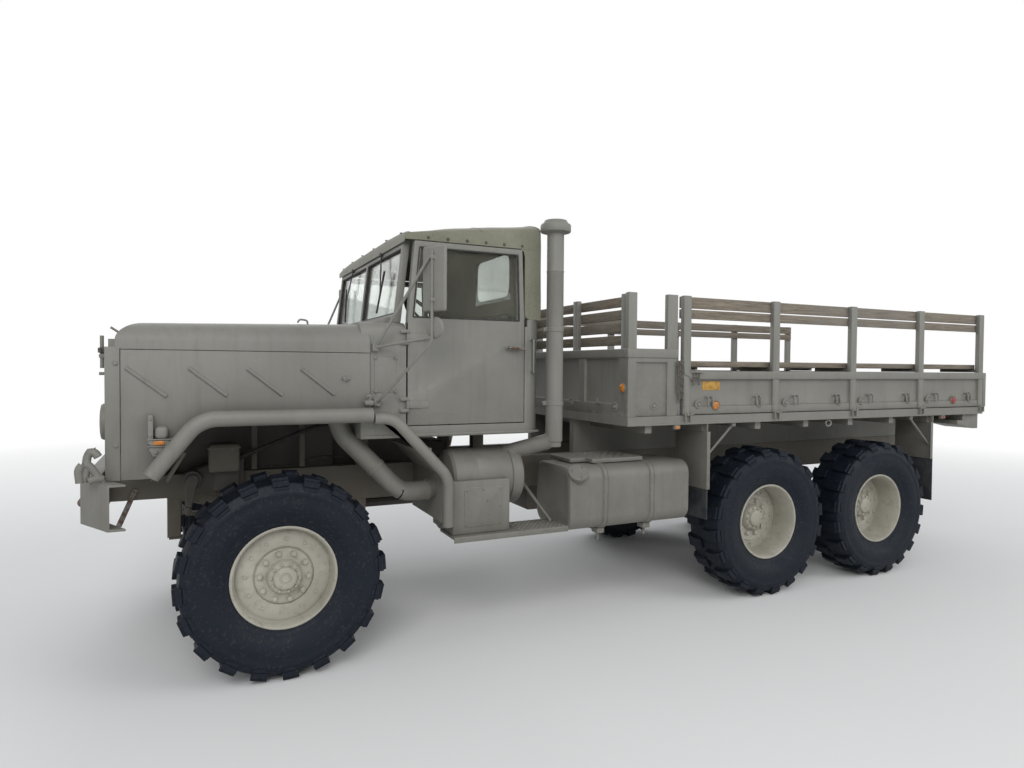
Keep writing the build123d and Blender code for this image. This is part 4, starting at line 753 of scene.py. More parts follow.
for cut in range(1, 12):
    bpy.ops.mesh.select_all(action="SELECT")
    level = cover_low.y + (cover_high.y - cover_low.y) * cut / 12
    bpy.ops.mesh.bisect(plane_co=(0, level, 0), plane_no=(0, 1, 0))
for cut in range(1, 8):
    bpy.ops.mesh.select_all(action="SELECT")
    station = cover_low.x + (cover_high.x - cover_low.x) * cut / 8
    bpy.ops.mesh.bisect(plane_co=(station, 0, 0), plane_no=(1, 0, 0))
bpy.ops.object.mode_set(mode="OBJECT")
for point in cover.data.vertices:
    over_seam = (point.co.z - seam_z) / (crown_z - seam_z)
    ahead = (point.co.x - hood_rear) / (cover_nose - hood_rear)
    point.co.z -= over_seam * (0.036 * ahead + 0.016 * (abs(point.co.y) / hood_half) ** 2)
    point.co.y *= 1 - 0.012 * max(0.0, over_seam - 0.2)
bpy.ops.object.modifier_add(type="SOLIDIFY")
cover.modifiers[-1].thickness = 0.005
cover.modifiers[-1].offset = -1
bpy.ops.object.modifier_apply(modifier=cover.modifiers[-1].name)
bpy.ops.object.shade_smooth_by_angle(angle=math.radians(40))

strip_rear = strip_front - 0.072
side_outline = (
    (hood_rear, seam_z),
    (hood_rear, arch_z),
    (lip_corner - 0.110, arch_z),
    (lip_corner - 0.005, arch_z - 0.020),
    (lip_corner + 0.068, arch_z - 0.087),
    (lip_front, hood_low.z),
    (strip_rear - 0.002, hood_low.z),
    (strip_rear - 0.002, seam_z),
)
strip_outline = (
    (strip_rear, seam_z + 0.013),
    (strip_rear, hood_low.z),
    (strip_front, hood_low.z),
    (strip_front, seam_z + 0.013),
)
rib_starts = (0.828, 0.516, 0.208, -0.098)
lip_path = (
    (lip_front - 0.002, hood_low.z + 0.012),
    (lip_corner, arch_z + 0.005),
    (hood_rear + 0.004, arch_z + 0.005),
)
hood_pieces = [cover]
cap_head = hex_bolt("cap_head", 0.010, 0.008)
for way in (1, -1):
    face_y = way * hood_half
    side = cut_plate("hood_side", [(x, face_y, z) for x, z in side_outline], (0, -way * 0.006, 0))
    strip = cut_plate("hood_strip", [(x, face_y, z) for x, z in strip_outline], (0, way * 0.004, 0), 0.002)
    hood_pieces += [side, strip]
    for start in rib_starts:
        x0 = axle_x + start
        rib = ((x0, face_y, 1.870), (x0 - 0.196, face_y, 1.712))
        hood_pieces.append(bent_bar("hood_rib", rib, 0.0115, 0, 5))
    # The side latch, the catch on the lip's rear end and the pull hook on the cover.
    latch_low = (axle_x - 0.392, face_y, 1.803)
    latch_high = (axle_x - 0.344, face_y + way * 0.016, 1.824)
    hood_pieces.append(squared("side_latch", latch_low, latch_high, 0.006, 3))
    catch = (
        (axle_x - 0.368, face_y + way * 0.012, 1.822),
        (axle_x - 0.372, face_y + way * 0.022, 1.806),
        (axle_x - 0.350, face_y + way * 0.020, 1.800),
    )
    hood_pieces.append(bent_bar("latch_hook", catch, 0.005, 0.004))
    catch_low = (axle_x - 0.535, face_y - way * 0.010, 1.640)
    catch_high = (axle_x - 0.475, face_y + way * 0.040, 1.676)
    hood_pieces.append(squared("lip_catch", catch_low, catch_high, 0.012, 3))
    catch = (
        (axle_x - 0.505, face_y + way * 0.020, 1.660),
        (axle_x - 0.515, face_y + way * 0.030, 1.706),
        (axle_x - 0.490, face_y + way * 0.026, 1.700),
    )
    hood_pieces.append(bent_bar("catch_loop", catch, 0.008, 0.008))
    pull = (
        (axle_x - 0.160, way * 0.930, 2.120),
        (axle_x - 0.160, way * 0.930, 2.176),
        (axle_x - 0.110, way * 0.930, 2.182),
        (axle_x - 0.100, way * 0.930, 2.160),
    )
    hood_pieces.append(bent_bar("cover_hook", pull, 0.006, 0.014))
    sheet_path = (
        (lip_front - 0.002, hood_low.z + 0.004),
        (lip_corner + 0.068, arch_z - 0.094),
        (lip_corner - 0.012, arch_z - 0.030),
        (lip_corner - 0.110, arch_z - 0.004),
        (hood_rear + 0.004, arch_z + 0.003),
    )
    flat = [(x, face_y - way * 0.006, z) for x, z in sheet_path]
    flat += [(x, face_y - way * 0.006, z - 0.006) for x, z in reversed(sheet_path)]
    hood_pieces.append(cut_plate("lip_sheet", flat, (0, way * 0.098, 0), 0.002))
    roll = [(x, way * 1.193, z + 0.012) for x, z in lip_path]
    hood_pieces.append(bent_bar("lip_roll", roll, 0.046, 0.085, 5, 6))
    for z in (1.895, 1.445):
        head = Vector((strip_rear + 0.020, face_y + way * 0.004, z))
        placing = Matrix.Translation(head) @ Matrix.Scale(way, 4, (0, 1, 0))
        hood_pieces.append(copied(cap_head, "cap", placing))
bpy.data.objects.remove(cap_head)
for low, high in (
    ((strip_front - 0.006, -hood_half, 1.950), (strip_front, hood_half, seam_z + 0.013)),
    ((strip_front - 0.006, -hood_half, hood_low.z + 0.034), (strip_front, -0.460, 1.350)),
    ((strip_front - 0.006, -0.325, hood_low.z + 0.034), (strip_front, 0.325, 1.350)),
    ((strip_front - 0.006, 0.460, hood_low.z + 0.034), (strip_front, hood_half, 1.350)),
    ((strip_front - 0.006, -0.462, 1.336), (strip_front, -0.322, 1.352)),
    ((strip_front - 0.006, 0.322, 1.336), (strip_front, 0.462, 1.352)),
    ((strip_front - 0.036, 0.379, 1.312), (strip_front - 0.004, 0.405, 1.350)),
    ((strip_front - 0.036, -0.405, 1.312), (strip_front - 0.004, -0.379, 1.350)),
    ((strip_front - 0.006, 0.640, 1.345), (strip_front, hood_half, 1.955)),
    ((strip_front - 0.006, -hood_half, 1.345), (strip_front, -0.640, 1.955)),
    ((cover_nose - 0.004, -hood_half, seam_z + 0.005), (strip_front, hood_half, seam_z + 0.012)),
):
    hood_pieces.append(squared("front_frame", low, high, 0.002))
hood_dressed = dressed(joined("hood_dressed", hood_pieces), tan_paint, "hood")
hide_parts("hood_shell")


# The cab: a welded tub of sheet steel with a rounded cowl, doors hung on strap hinges, and a
# raked windshield frame that folds on the cowl. Everything is sprayed in the truck's tan.
def from_solid(name, node_name, edge=0.003, segments=2):
    """A welded copy of a CAD node with its edges rounded, which then stands in for the node."""
    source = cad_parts[node_name]
    piece = copied(source, name, Matrix.Identity(4))
    picked(piece, "VERT", lambda place: True)
    bpy.ops.mesh.remove_doubles(threshold=0.0001)
    bpy.ops.mesh.dissolve_limited(angle_limit=math.radians(1))
    bpy.ops.object.mode_set(mode="OBJECT")
    bpy.ops.object.modifier_add(type="BEVEL")
    bevel = piece.modifiers[-1]
    bevel.width = edge
    bevel.segments = segments
    bevel.limit_method = "ANGLE"
    bevel.angle_limit = math.radians(32)
    bevel.use_clamp_overlap = False
    bpy.ops.object.modifier_apply(modifier=bevel.name)
    bpy.ops.object.shade_smooth_by_angle(angle=math.radians(36))
    return piece


def soft_outline(low, high, corner, steps=4):
    """Points round an upright rectangle of (a, b) with rounded corners."""
    points = []
    for a, b, start in (
        (high[0] - corner, high[1] - corner, 0),
        (low[0] + corner, high[1] - corner, 90),
        (low[0] + corner, low[1] + corner, 180),
        (high[0] - corner, low[1] + corner, 270),
    ):
        for step in range(steps + 1):
            angle = math.radians(start + 90 * step / steps)
            points.append((a + corner * math.cos(angle), b + corner * math.sin(angle)))
    return points


seal_rubber, seal_shader, seal_place = finish_nodes("seal_rubber", (0.018, 0.018, 0.018), 0.7)
seal_dust = ramp(seal_rubber, noise(seal_rubber, seal_place, 30.0, 6.0), 0.4, 0.7, 0.0, 0.5)
seal_tone = layered(seal_rubber, seal_dust, (0.014, 0.014, 0.015), (0.07, 0.065, 0.055))
seal_rubber.node_tree.links.new(seal_tone, seal_shader.inputs["Base Color"])
bumped(seal_rubber, seal_shader, noise(seal_rubber, seal_place, 120.0, 3.0), 0.2, 0.001)

worn_steel, steel_shader, steel_place = finish_nodes("worn_steel", (0.16, 0.15, 0.14), 0.45, 0.8)
steel_rust = ramp(worn_steel, noise(worn_steel, steel_place, 22.0, 8.0, sharp=0.7), 0.42, 0.62, 0.0, 0.9)
steel_tone = layered(worn_steel, steel_rust, (0.20, 0.19, 0.18), (0.12, 0.06, 0.03))
worn_steel.node_tree.links.new(steel_tone, steel_shader.inputs["Base Color"])
steel_rough = ramp(worn_steel, steel_rust, 0.0, 0.9, 0.4, 0.85)
worn_steel.node_tree.links.new(steel_rough, steel_shader.inputs["Roughness"])
bumped(worn_steel, steel_shader, noise(worn_steel, steel_place, 90.0, 6.0), 0.3, 0.001)

cab_face = 1.085
cap_head = hex_bolt("cap_head", 0.009, 0.007)
cab_pieces = [from_solid("cab", "cab_shell", 0.004)]
for way in (1, -1):
    side_turn = Matrix.Scale(way, 4, (0, 1, 0))
    panel = soft_outline((axle_x - 0.693, 1.72), (axle_x - 0.549, 1.95), 0.040)
    panel = [(x, way * (cab_face - 0.001), z) for x, z in panel]
    cab_pieces.append(cut_plate("cowl_panel", panel, (0, way * 0.005, 0), 0.002))
    sill = ((axle_x - 1.730, 1.432), (axle_x - 0.470, 1.447))
    low = (sill[0][0], way * (cab_face - 0.002), sill[0][1])
    high = (sill[1][0], way * (cab_face + 0.005), sill[1][1])
    cab_pieces.append(squared("sill_bead", low, high, 0.003))
    for x in (0.556, 0.686):
        for z in (1.728, 1.942):
            place = Vector((axle_x - x, cab_face + 0.004, z))
            cab_pieces.append(copied(cap_head, "cap", side_turn @ Matrix.Translation(place)))
bpy.data.objects.remove(cap_head)
cab_dressed = dressed(joined("cab_dressed", cab_pieces), tan_paint, "chassis")
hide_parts("cab_shell")

for way, side_name in ((1, "left"), (-1, "right")):
    door_low, door_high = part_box("door_" + side_name)
    side_turn = Matrix.Scale(way, 4, (0, 1, 0))
    door = from_solid("door_dressed_" + side_name, "door_" + side_name, 0.003)
    handle_x = door_low.x + 0.090
    plain_lever = bent_bar(
        "lever",
        (
            (handle_x + 0.045, cab_face + 0.012, 2.026),
            (handle_x + 0.045, cab_face + 0.048, 2.026),
            (handle_x - 0.075, cab_face + 0.050, 2.014),
        ),
        0.009,
        0.014,
    )
    strap_plates = []
    for z in (1.640, 2.080):
        low = (door_high.x - 0.160, cab_face - 0.001, z - 0.022)
        high = (door_high.x - 0.004, cab_face + 0.008, z + 0.022)
        strap_plates.append(squared("hinge_strap", low, high, 0.003))
    window = (
        (door_low.x + 0.040, 2.214),
        (door_high.x - 0.050, 2.214),
        (door_high.x - 0.092, 2.672),
        (door_low.x + 0.054, 2.672),
    )
    lever = copied(plain_lever, "door_lever_" + side_name, side_turn)
    dressed(lever, worn_steel, "door_" + side_name)
    bpy.data.objects.remove(plain_lever)
    door_parts = [door]
    for plate in strap_plates:
        door_parts.append(copied(plate, "strap", side_turn))
        bpy.data.objects.remove(plate)
    door = joined("door_dressed_" + side_name, door_parts)
    dressed(door, tan_paint, "door_" + side_name)
    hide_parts("door_" + side_name)
    seal_bars = []
    for start, end in zip(window, window[1:] + window[:1]):
        points = [(x, way * (cab_face - 0.004), z) for x, z in (start, end)]
        seal_bars.append(bent_bar("seal", points, 0.007))
    seal = joined("door_seal_" + side_name, seal_bars)
    dressed(seal, seal_rubber, "door_" + side_name)
screen_pieces = [from_solid("screen", "windshield_frame", 0.004)]
screen_low, screen_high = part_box("windshield_frame")
lean = (screen_low.x + 0.044 - screen_high.x) / (screen_high.z - screen_low.z)


def on_screen(z, out=0.0):
    """The place along the truck of the windshield's front face at a height."""
    return screen_high.x + lean * (z - screen_low.z) + out


screen_seals = []
wipers = []
for way in (1, -1):
    corners = (
        (way * 0.026, 2.240),
        (way * 0.952, 2.240),
        (way * 0.952, 2.674),
        (way * 0.026, 2.674),
    )
    for start, end in zip(corners, corners[1:] + corners[:1]):
        points = [(on_screen(z, -0.012), y, z) for y, z in (start, end)]
        screen_seals.append(bent_bar("seal", points, 0.009))
    low = (screen_high.x - 0.030, way * 0.800 - 0.060, screen_low.z - 0.004)
    high = (screen_high.x + 0.018, way * 0.800 + 0.060, screen_low.z + 0.046)
    screen_pieces.append(squared("screen_hinge", low, high, 0.006))
    pivot = Vector((on_screen(2.700, 0.010), way * 0.470, 2.700))
    tip = Vector((on_screen(2.400, 0.018), way * 0.600, 2.400))
    wipers.append(bent_bar("wiper_arm", (pivot, tip), 0.005))
    blade_top = Vector((on_screen(2.560, 0.014), way * 0.640, 2.560))
    blade_foot = Vector((on_screen(2.270, 0.014), way * 0.545, 2.270))
    wipers.append(bent_bar("wiper_blade", (blade_top, blade_foot), 0.007))
    hub_ends = (pivot - Vector((0.030, 0, 0)), pivot + Vector((0.010, 0, 0)))
    wipers.append(bent_bar("wiper_hub", hub_ends, 0.016))
screen_dressed = dressed(joined("screen_dressed", screen_pieces), tan_paint, "chassis")
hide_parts("windshield_frame")
dressed(joined("screen_seals", screen_seals), seal_rubber, "chassis")
dressed(joined("wipers", wipers), seal_rubber, "chassis")

# The sides' and front fenders' rear halves, the bumper and its tow gear: rolled and folded
# plate, bolted to the frame. The shackles are forged bows with a pin, worn bare and rusty.
fender_pieces = []
for way in (1, -1):
    path = ((2.303, 1.592), (2.190, 1.592), (1.806, 1.180), (1.814, 0.850))
    flat = [(x, way * 1.096, z) for x, z in path]
    flat += [(x - 0.004, way * 1.096, z - 0.008) for x, z in reversed(path)]
    fender_pieces.append(cut_plate("fender_sheet", flat, (0, way * 0.104, 0), 0.002))
    roll_path = ((2.303, 1.563), (2.183, 1.563), (1.812, 1.167), (1.814, 0.842))
    roll = [(x, way * 1.196, z) for x, z in roll_path]
    fender_pieces.append(bent_bar("fender_roll", roll, 0.036, 0.060, 5, 6))
    inner = ((1.982, 1.346), (1.806, 1.170), (1.814, 0.850))
    flat = [(x, way * 0.432, z) for x, z in inner]
    flat += [(x + 0.008, way * 0.432, z - 0.004) for x, z in reversed(inner)]
    fender_pieces.append(cut_plate("splash_sheet", flat, (0, way * 0.660, 0), 0.002))
    for x, z in ((1.880, 1.330), (1.806, 1.060)):
        low = (x - 0.012, way * 0.50, z - 0.012)
        high = (x + 0.012, way * 1.02, z + 0.012)
        fender_pieces.append(squared("splash_rib", low, high, 0.004))
fenders = dressed(joined("fenders_dressed", fender_pieces), tan_paint, "chassis")
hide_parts("rear_fenders")

bumper_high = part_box("front_bumper")[1]
bumper_pieces = [from_solid("bumper", "front_bumper", 0.004)]
tow_eye_x = axle_x + 1.114
cap_head = hex_bolt("cap_head", 0.015, 0.012)
for way in (1, -1):
    for y in (0.31, 0.56):
        for z in (1.070, 1.180):
            facing = Matrix.Rotation(math.radians(-90), 4, "Z")
            place = Matrix.Translation((bumper_high.x - 0.080, way * y, z))
            bumper_pieces.append(copied(cap_head, "bolt", place @ facing))
bpy.data.objects.remove(cap_head)
bumper = dressed(joined("bumper_dressed", bumper_pieces), tan_paint, "chassis")
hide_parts("front_bumper")
shackles = []
for way in (1, -1):
    y0, y1 = way * 0.427 - 0.030, way * 0.427 + 0.030
    bow = (
        (tow_eye_x, y0, 1.034),
        (tow_eye_x, y0, 0.970),
        (tow_eye_x, y0 + 0.010, 0.942),
        (tow_eye_x, y1 - 0.010, 0.942),
        (tow_eye_x, y1, 0.970),
        (tow_eye_x, y1, 1.034),
    )
    shackles.append(bent_bar("bow", bow, 0.013, 0.014, 4, 5))
    pin = ((tow_eye_x, y0 - 0.010, 1.034), (tow_eye_x, y1 + 0.010, 1.034))
    shackles.append(bent_bar("pin", pin, 0.0155, 0, 5))
    eye_outline = ((0.016, -0.010), (0.028, -0.010), (0.028, 0.010), (0.016, 0.010), (0.016, -0.010))
    for y in (y0, y1):
        ring = turned("eye", eye_outline, 24)
        shackles.append(copied(ring, "eye_ring", Matrix.Translation((tow_eye_x, y, 1.034))))
        bpy.data.objects.remove(ring)
shackle_gear = dressed(joined("shackles_dressed", shackles), worn_steel, "chassis")
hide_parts("tow_shackles")

# The fuel tank hangs on the left rail in two steel straps: a welded tank with rolled corners
# and domed ends, its filler neck in a dish on the top edge, and a tread plate to step on.
tank_low, tank_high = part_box("fuel_tank")
tank_length = tank_high.x - tank_low.x
tank_front = tank_high.x - 0.19 * tank_length
tank_ring = soft_outline((0.640, 0.700), (1.165, 1.170), 0.100, 8)
tank = traced("tank", [(tank_low.x + 0.012, y, z) for y, z in tank_ring])
bpy.ops.mesh.edge_face_add()
bpy.ops.mesh.extrude_region_move(TRANSFORM_OT_translate={"value": (tank_front - tank_low.x - 0.024, 0, 0)})
bpy.ops.mesh.select_all(action="SELECT")
bpy.ops.mesh.normals_make_consistent(inside=False)
bpy.ops.object.mode_set(mode="OBJECT")
for way in (1, -1):
    picked(tank, "FACE", lambda centre, normal: normal.x * way > 0.9)
    for thickness, step in ((0.010, 0.006), (0.030, 0.004), (0.012, -0.005)):
        bpy.ops.mesh.inset(thickness=thickness)
        bpy.ops.transform.translate(value=(way * step, 0, 0))
    bpy.ops.object.mode_set(mode="OBJECT")
broken_edges(tank, 0.006, 3, 25)
tank_pieces = [tank]
for share in (0.42, 0.73):
    strap_x = tank_high.x - tank_length * share
    strap_ring = soft_outline((0.633, 0.693), (1.172, 1.177), 0.106, 8)
    strap_points = [(strap_x - 0.025, y, z) for y, z in strap_ring]
    tank_pieces.append(cut_plate("strap", strap_points, (0.050, 0, 0), 0.002))
    for off in (-0.017, 0.017):
        bead = [(strap_x + off, y, z) for y, z in soft_outline((0.631, 0.691), (1.174, 1.179), 0.108, 8)]
        tank_pieces.append(bent_bar("strap_bead", bead + bead[:1], 0.0035))
    low = (strap_x - 0.032, 1.020, 0.655)
    high = (strap_x + 0.032, 1.100, 0.694)
    tank_pieces.append(squared("strap_lug", low, high, 0.005))
    tank_pieces.append(bent_bar("strap_bolt", ((strap_x, 1.060, 0.600), (strap_x, 1.060, 0.700)), 0.008))
    low = (strap_x - 0.030, 0.432, 1.040)
    high = (strap_x + 0.030, 0.648, 1.120)
    tank_pieces.append(squared("tank_bracket", low, high, 0.006))
# The tread plate stands over the tank on its folded edges and is cut back beside the filler.
plate_low = (axle_x - 2.660, 0.660, 1.176)
tank_pieces.append(squared("tread_plate", plate_low, (axle_x - 2.200, 1.060, 1.208), 0.004))
low = (axle_x - 2.210, 0.660, 1.177)
tank_pieces.append(squared("tread_plate", low, (axle_x - 2.060, 0.975, 1.2075), 0.004))
for row in range(9):
    for column in range(13):
        x = plate_low[0] + 0.022 + column * 0.033
        y = plate_low[1] + 0.032 + row * 0.042
        lean_x = 0.009 if (row + column) % 2 else -0.009
        tread = ((x - 0.009, y - lean_x, 1.2085), (x + 0.009, y + lean_x, 1.2085))
        tank_pieces.append(bent_bar("tread", tread, 0.0025, 0, 1))
filler = Vector((tank_front - 0.080, 1.146, 1.112))
neck_way = Vector((22, 62, 74)).normalized()
neck_turn = Vector((0, 1, 0)).rotation_difference(neck_way).to_matrix().to_4x4()
neck_outline = (
    (0.0, -0.060),
    (0.062, -0.060),
    (0.062, 0.004),
    (0.072, 0.004),
    (0.076, 0.010),
    (0.076, 0.030),
    (0.070, 0.037),
    (0.030, 0.041),
    (0.0, 0.041),
)
neck = turned("neck", neck_outline, 36)
tank_pieces.append(copied(neck, "filler", Matrix.Translation(filler) @ neck_turn))
bpy.data.objects.remove(neck)
for number in range(3):
    angle = math.radians(120 * number + 20)
    grip = Vector((0.045 * math.cos(angle), 0.044, 0.045 * math.sin(angle)))
    end = Vector((0.074 * math.cos(angle), 0.034, 0.074 * math.sin(angle)))
    place = Matrix.Translation(filler) @ neck_turn
    tank_pieces.append(bent_bar("cap_ear", (place @ grip, place @ end), 0.006))
tank_dressed = dressed(joined("tank_dressed", tank_pieces), tan_paint, "chassis")
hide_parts("fuel_tank")

# The air cleaner lies under the cab's left corner, banded by a clamp at its rear end, and its
# stack rises behind the cab to a mushroom cap. Thin pressed steel with rolled stiffening beads.
can_front = axle_x - 1.090
can_rear = axle_x - 1.640
can_place = Matrix.Translation((0, 0.865, 1.112)) @ Matrix.Rotation(math.radians(-90), 4, "Z")
can_outline = (
    # radius and place along the can, front end first
    (0.0, can_front),
    (0.070, can_front),
    (0.078, can_front - 0.004),
    (0.150, can_front - 0.010),
    (0.184, can_front - 0.018),
    (0.200, can_front - 0.036),
    (0.200, can_front - 0.190),
    (0.196, can_front - 0.196),
    (0.196, can_front - 0.204),
    (0.200, can_front - 0.210),
    (0.200, can_rear + 0.094),
    (0.210, can_rear + 0.090),
    (0.212, can_rear + 0.068),
    (0.212, can_rear + 0.056),
    (0.210, can_rear + 0.030),
    (0.206, can_rear + 0.012),
    (0.196, can_rear + 0.004),
    (0.170, can_rear),
    (0.0, can_rear),
)
can = turned("can", can_outline, 48)
air_pieces = [copied(can, "air_can", can_place)]
bpy.data.objects.remove(can)
stack_x = axle_x - 1.822
stack_turn = Matrix.Translation((stack_x, 1.150, 0)) @ Matrix.Rotation(math.radians(90), 4, "X")
stack_outline = (
    (0.0, 1.330),
    (0.050, 1.330),
    (0.052, 1.340),
    (0.052, 1.362),
    (0.060, 1.370),
    (0.060, 1.620),
    (0.0645, 1.624),
    (0.0645, 1.652),
    (0.060, 1.656),
    (0.060, 2.140),
    (0.0645, 2.144),
    (0.0645, 2.172),
    (0.060, 2.176),
    (0.060, 2.560),
    (0.0635, 2.566),
    (0.060, 2.572),
    (0.060, 2.828),
    (0.066, 2.832),
    (0.104, 2.842),
    (0.108, 2.850),
    (0.108, 2.888),
    (0.103, 2.897),
    (0.090, 2.902),
    (0.085, 2.912),
    (0.078, 2.924),
    (0.050, 2.929),
    (0.0, 2.930),
)
stack = turned("stack", stack_outline, 36)
air_pieces.append(copied(stack, "air_stack", stack_turn))
bpy.data.objects.remove(stack)
elbow = ((stack_x, 1.150, 1.500), (stack_x, 1.150, 1.376), (can_rear + 0.080, 0.900, 1.270))
air_pieces.append(bent_bar("elbow", elbow, 0.056, 0.070, 6, 8))
low = (can_front - 0.310, 0.432, 1.120)
high = (can_front - 0.250, 0.800, 1.160)
air_pieces.append(squared("can_bracket", low, high, 0.006))
for z in (1.638, 2.158):
    low = (stack_x + 0.050, 1.120, z - 0.014)
    high = (axle_x - 1.735, 1.150, z + 0.014)
    air_pieces.append(squared("stack_bracket", low, high, 0.003))
air_dressed = dressed(joined("air_dressed", air_pieces), tan_paint, "chassis")
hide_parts("air_intake")

# The intake pipe: a fat tan elbow of sheet tube that comes down from the hood, bends back under
# the cab's corner and is clamped to the air cleaner's front end.
pipe_route = (
    (axle_x - 0.345, 0.900, 1.560),
    (axle_x - 0.385, 0.900, 1.440),
    (axle_x - 0.735, 0.940, 1.075),
    (axle_x - 0.800, 0.940, 1.045),
    (axle_x - 0.985, 0.930, 1.050),
    (can_front + 0.002, 0.860, 1.120),
)
pipe_pieces = [bent_bar("intake_pipe", pipe_route, 0.064, 0.050, 6, 6)]
for start, end, radius in (
    ((axle_x - 0.930, 0.934, 1.048), (axle_x - 0.958, 0.932, 1.049), 0.070),
    ((axle_x - 1.030, 0.903, 1.076), (axle_x - 1.052, 0.889, 1.091), 0.070),
    ((axle_x - 0.590, 0.9225, 1.226), (axle_x - 0.604, 0.924, 1.211), 0.068),
):
    pipe_pieces.append(bent_bar("clamp", (start, end), radius, 0, 6))
dressed(joined("intake_pipe", pipe_pieces), tan_paint, "chassis")

# The boxes and steps below the cab: a battery-style equipment box of folded sheet with a cover
# plate held by small bolts, and a long step of perforated tread plate on two arms.
box_front = axle_x - 1.075
box_rear = axle_x - 1.482
box_pieces = []
cap_head = hex_bolt("cap_head", 0.0065, 0.005)
for way, out in ((1, 1.120), (-1, 1.120)):
    low = (box_rear, way * 0.700, 0.758)
    high = (box_front, way * out, 0.860)
    box_pieces.append(squared("box", low, high, 0.008, 3))
    low = (box_rear - 0.004, way * 0.696, 0.850)
    high = (box_front + 0.002, way * (out + 0.004), 0.872)
    box_pieces.append(squared("box_lid", low, high, 0.005, 2))
    # The folded cover plate stands up in front of the air cleaner, held by small bolts.
    low = (box_rear - 0.010, way * 1.050, 0.758)
    high = (box_front + 0.004, way * (out + 0.006), 1.122)
    box_pieces.append(squared("box_cover", low, high, 0.010, 4))
    hatch_ring = soft_outline((axle_x - 1.440, 0.806), (axle_x - 1.152, 1.074), 0.020, 4)
    hatch = [(x, way * (out + 0.004), z) for x, z in hatch_ring]
    box_pieces.append(cut_plate("box_hatch", hatch, (0, way * 0.005, 0), 0.001))
    for x, z in (
        (axle_x - 1.172, 1.054),
        (axle_x - 1.292, 1.058),
        (axle_x - 1.420, 1.056),
        (axle_x - 1.169, 0.938),
        (axle_x - 1.420, 0.934),
        (axle_x - 1.169, 0.824),
        (axle_x - 1.286, 0.822),
        (axle_x - 1.416, 0.824),
        (axle_x - 1.326, 0.977),
        (axle_x - 1.333, 0.889),
    ):
        placing = Matrix.Scale(way, 4, (0, 1, 0)) @ Matrix.Translation((x, out + 0.008, z))
        box_pieces.append(copied(cap_head, "bolt", placing))
    low = (box_rear + 0.040, way * 0.432, 0.800)
    high = (box_front - 0.040, way * 0.760, 0.860)
    box_pieces.append(squared("box_arm", low, high, 0.005))
    # The step runs back from under the box to the tank, with a flanged edge and a bar to the frame.
    step_rear = tank_front + 0.022
    low = (step_rear, way * 0.900, 0.742)
    high = (axle_x - 1.060, way * 1.184, 0.758)
    box_pieces.append(squared("step", low, high, 0.003))
    low = (step_rear - 0.001, way * 1.180, 0.722)
    high = (axle_x - 1.059, way * 1.190, 0.762)
    box_pieces.append(squared("step_edge", low, high, 0.004))
    for row in range(6):
        for column in range(10):
            x = step_rear + 0.022 + column * 0.037
            y = way * (0.922 + row * 0.046)
            tooth = ((x - 0.010, y, 0.7585), (x + 0.010, y, 0.7585))
            box_pieces.append(bent_bar("tooth", tooth, 0.0045, 0, 1))
    for x in (axle_x - 1.440, axle_x - 1.100):
        strut = ((x, way * 0.500, 0.930), (x, way * 0.760, 0.746), (x, way * 1.150, 0.742))
        box_pieces.append(bent_bar("step_strut", strut, 0.013, 0.030))
    stay_low = (step_rear + 0.030, way * 0.985, 0.756)
    stay = (stay_low, (axle_x - 1.700, way * 0.700, 1.130), (axle_x - 1.690, way * 0.432, 1.140))
    box_pieces.append(bent_bar("step_stay", stay, 0.013, 0.030))
bpy.data.objects.remove(cap_head)
boxes = dressed(joined("boxes_dressed", box_pieces), tan_paint, "chassis")
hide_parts("side_boxes")

# The exhaust on the right: a round muffler, and a stack in a perforated guard behind the cab.
muffler_outline = (
    (0.0, 1.125),
    (0.085, 1.125),
    (0.110, 1.118),
    (0.120, 1.100),
    (0.120, 1.530),
    (0.110, 1.548),
    (0.050, 1.555),
    (0.0, 1.555),
)
muffler_y = -0.760
muffler_z = 1.100
stack_x = axle_x - 1.870
stack_y = -1.080
muffler_place = Matrix.Translation((axle_x, muffler_y, muffler_z))
muffler_place = muffler_place @ Matrix.Rotation(math.radians(90), 4, "Z")
muffler = turned("muffler", muffler_outline, 40)
guard_turn = Matrix.Translation((stack_x, stack_y, 0)) @ Matrix.Rotation(math.radians(90), 4, "X")
guard_outline = (
    (0.055, 1.750),
    (0.086, 1.752),
    (0.088, 1.760),
    (0.088, 2.440),
    (0.086, 2.448),
    (0.055, 2.450),
    (0.055, 1.750),
)
guard = turned("guard", guard_outline, 36)
exhaust_pieces = [copied(muffler, "muffler_turned", muffler_place), copied(guard, "guard_turned", guard_turn)]
bpy.data.objects.remove(muffler)
bpy.data.objects.remove(guard)
tail_pipe = (
    (axle_x - 1.560, muffler_y, muffler_z),
    (axle_x - 1.690, muffler_y, muffler_z + 0.010),
    (stack_x, stack_y, 1.340),
    (stack_x, stack_y, 2.690),
)
exhaust_pieces.append(bent_bar("exhaust_pipe", tail_pipe, 0.050, 0.070, 6, 6))
lead = ((axle_x - 1.150, -0.432, muffler_z), (axle_x - 1.150, -0.700, muffler_z))
exhaust_pieces.append(bent_bar("lead_pipe", lead, 0.050, 0, 6))
low = (axle_x - 1.480, -0.700, 1.110)
high = (axle_x - 1.420, -0.432, 1.160)
exhaust_pieces.append(squared("muffler_bracket", low, high, 0.005))
exhaust_dressed = dressed(joined("exhaust_dressed", exhaust_pieces), worn_steel, "chassis")
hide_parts("exhaust")

